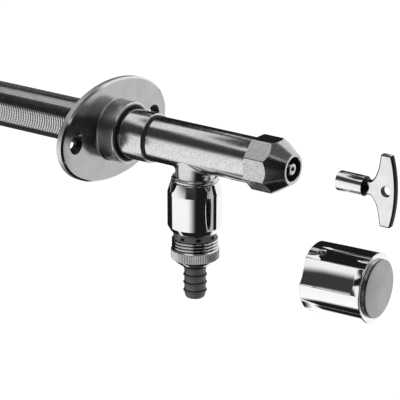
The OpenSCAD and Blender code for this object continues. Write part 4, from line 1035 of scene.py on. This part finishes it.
def panel(name, turns, rises, soft, level=0.012, foot=()):
    """A curved panel between two azimuths and two elevations, or above a foot of (azimuth, elevation) points.

    Soft gives the fade in from each of its four edges, in degrees."""
    nothing_selected()
    bpy.ops.mesh.primitive_grid_add(x_subdivisions=48, y_subdivisions=24, size=1)
    sheet = named(name)
    width, height = turns[1] - turns[0], rises[1] - rises[0]
    reach = PANEL_REACH + PANEL_STEP * len(panels)
    for vert in sheet.data.vertices:
        degrees = turns[0] + (vert.co.x + 0.5) * width
        low = rises[0]
        for (turn_a, low_a), (turn_b, low_b) in zip(foot, foot[1:]):
            if turn_a <= degrees <= turn_b:
                low = low_a + (low_b - low_a) * (degrees - turn_a) / (turn_b - turn_a)
        turn = math.radians(degrees)
        rise = math.radians(low + (vert.co.y + 0.5) * (rises[1] - low))
        vert.co = PANEL_CENTRE + reach * Vector((
            math.cos(rise) * math.cos(turn), math.cos(rise) * math.sin(turn), math.sin(rise)))
    cloth, nodes, links, split, tone, share = cloth_base(name)
    tone.inputs["Color"].default_value = (level, level, level, 1)
    edges = [("X", 0.0, soft[0] / width), ("X", 1.0, 1 - soft[1] / width),
             ("Y", 0.0, soft[2] / height), ("Y", 1.0, 1 - soft[3] / height)]
    together = None
    for axis, start, end in edges:
        if start == end:
            continue
        fade = faded(nodes, links, split.outputs[axis], start, end)
        if together:
            both = nodes.new("ShaderNodeMath")
            both.operation = "MULTIPLY"
            links.new(together, both.inputs[0])
            links.new(fade, both.inputs[1])
            fade = both.outputs["Value"]
        together = fade
    links.new(together, share.inputs["Fac"])
    sheet.data.materials.append(cloth)
    reflections_only(sheet)
    panels.append(sheet)


panel("panel_left", (121, 198), (-36, 36), (2, 4, 4, 1))
panel("panel_left_high", (131, 151), (34, 54), (0.6, 6, 0, 9))
panel("panel_left_mid", (145, 198), (34, 47), (5, 4, 0, 9))
panel("panel_left_low", (120, 198), (-63.5, -25), (1, 12, 4, 2),
      foot=[(120, -26), (121, -27), (126, -34), (131, -43.5), (146, -57.5), (168, -63.5), (198, -63.5)])
panel("panel_back", (112, 127), (-14, 52), (4, 1, 3, 10))
panel("panel_back_high", (126, 131.8), (44, 56), (0, 0, 1, 10))
panel("panel_top", (131.5, 222), (41.5, 74), (0.8, 6, 0.8, 5),
      foot=[(131.5, 41.5), (138.3, 49.5), (145.4, 54.2), (154.5, 58.6), (200, 60), (206, 59.2), (222, 54)])
panel("panel_front_high", (190, 312), (5, 56), (6, 4, 17, 10), 0.045)
panel("panel_front", (258, 314), (-2, 30), (14, 4, 14, 6))
panel("panel_right", (272, 359), (-56, 46), (38, 1.5, 4, 6))
panel("panel_pale", (-2, 28), (-44, 46), (1, 1, 6, 6), 0.5)
panel("panel_narrow", (26, 47), (-46, 32), (1.5, 1.5, 8, 8))
panel("panel_over", (285, 432), (44, 80), (8, 8, 6, 6), 0.13)
panel("panel_below", (200, 480), (-89.5, -50), (4, 4, 0, 8))
panel("panel_below_left", (118, 202), (-89.5, -63), (2, 2, 0, 4))


# Two large soft lamps, for the plastic and rubber

def soft_lamp(name, turn, rise, reach, size, power):
    light = bpy.data.lights.new(name, "AREA")
    light.shape = "DISK"
    light.size = size
    light.energy = power
    lamp = bpy.data.objects.new(name, light)
    bpy.context.scene.collection.objects.link(lamp)
    away = Vector((math.cos(rise) * math.cos(turn), math.cos(rise) * math.sin(turn), math.sin(rise)))
    lamp.location = PANEL_CENTRE + away * reach
    lamp.rotation_euler = away.to_track_quat("Z", "Y").to_euler()
    lamp.visible_glossy = False


soft_lamp("lamp_left", math.radians(235), math.radians(50), 1.6, 1.0, 10)
soft_lamp("lamp_right", math.radians(20), math.radians(50), 1.8, 1.0, 4)


# Camera at the photograph's place

CAMERA_SPOT, CAMERA_BACK = Vector((998.84, -1278.98, 521.70)), Vector((0.55285, -0.76400, 0.33264))
lens = bpy.data.cameras.new("camera")
lens.sensor_width = 36.0
lens.lens = 232.98
lens.clip_start = 0.05
lens.clip_end = 60
camera = bpy.data.objects.new("camera", lens)
bpy.context.scene.collection.objects.link(camera)
camera.location = CAMERA_SPOT * MM
camera.rotation_euler = CAMERA_BACK.to_track_quat("Z", "Y").to_euler()
bpy.context.scene.camera = camera
bpy.context.scene.view_settings.view_transform = "Standard"
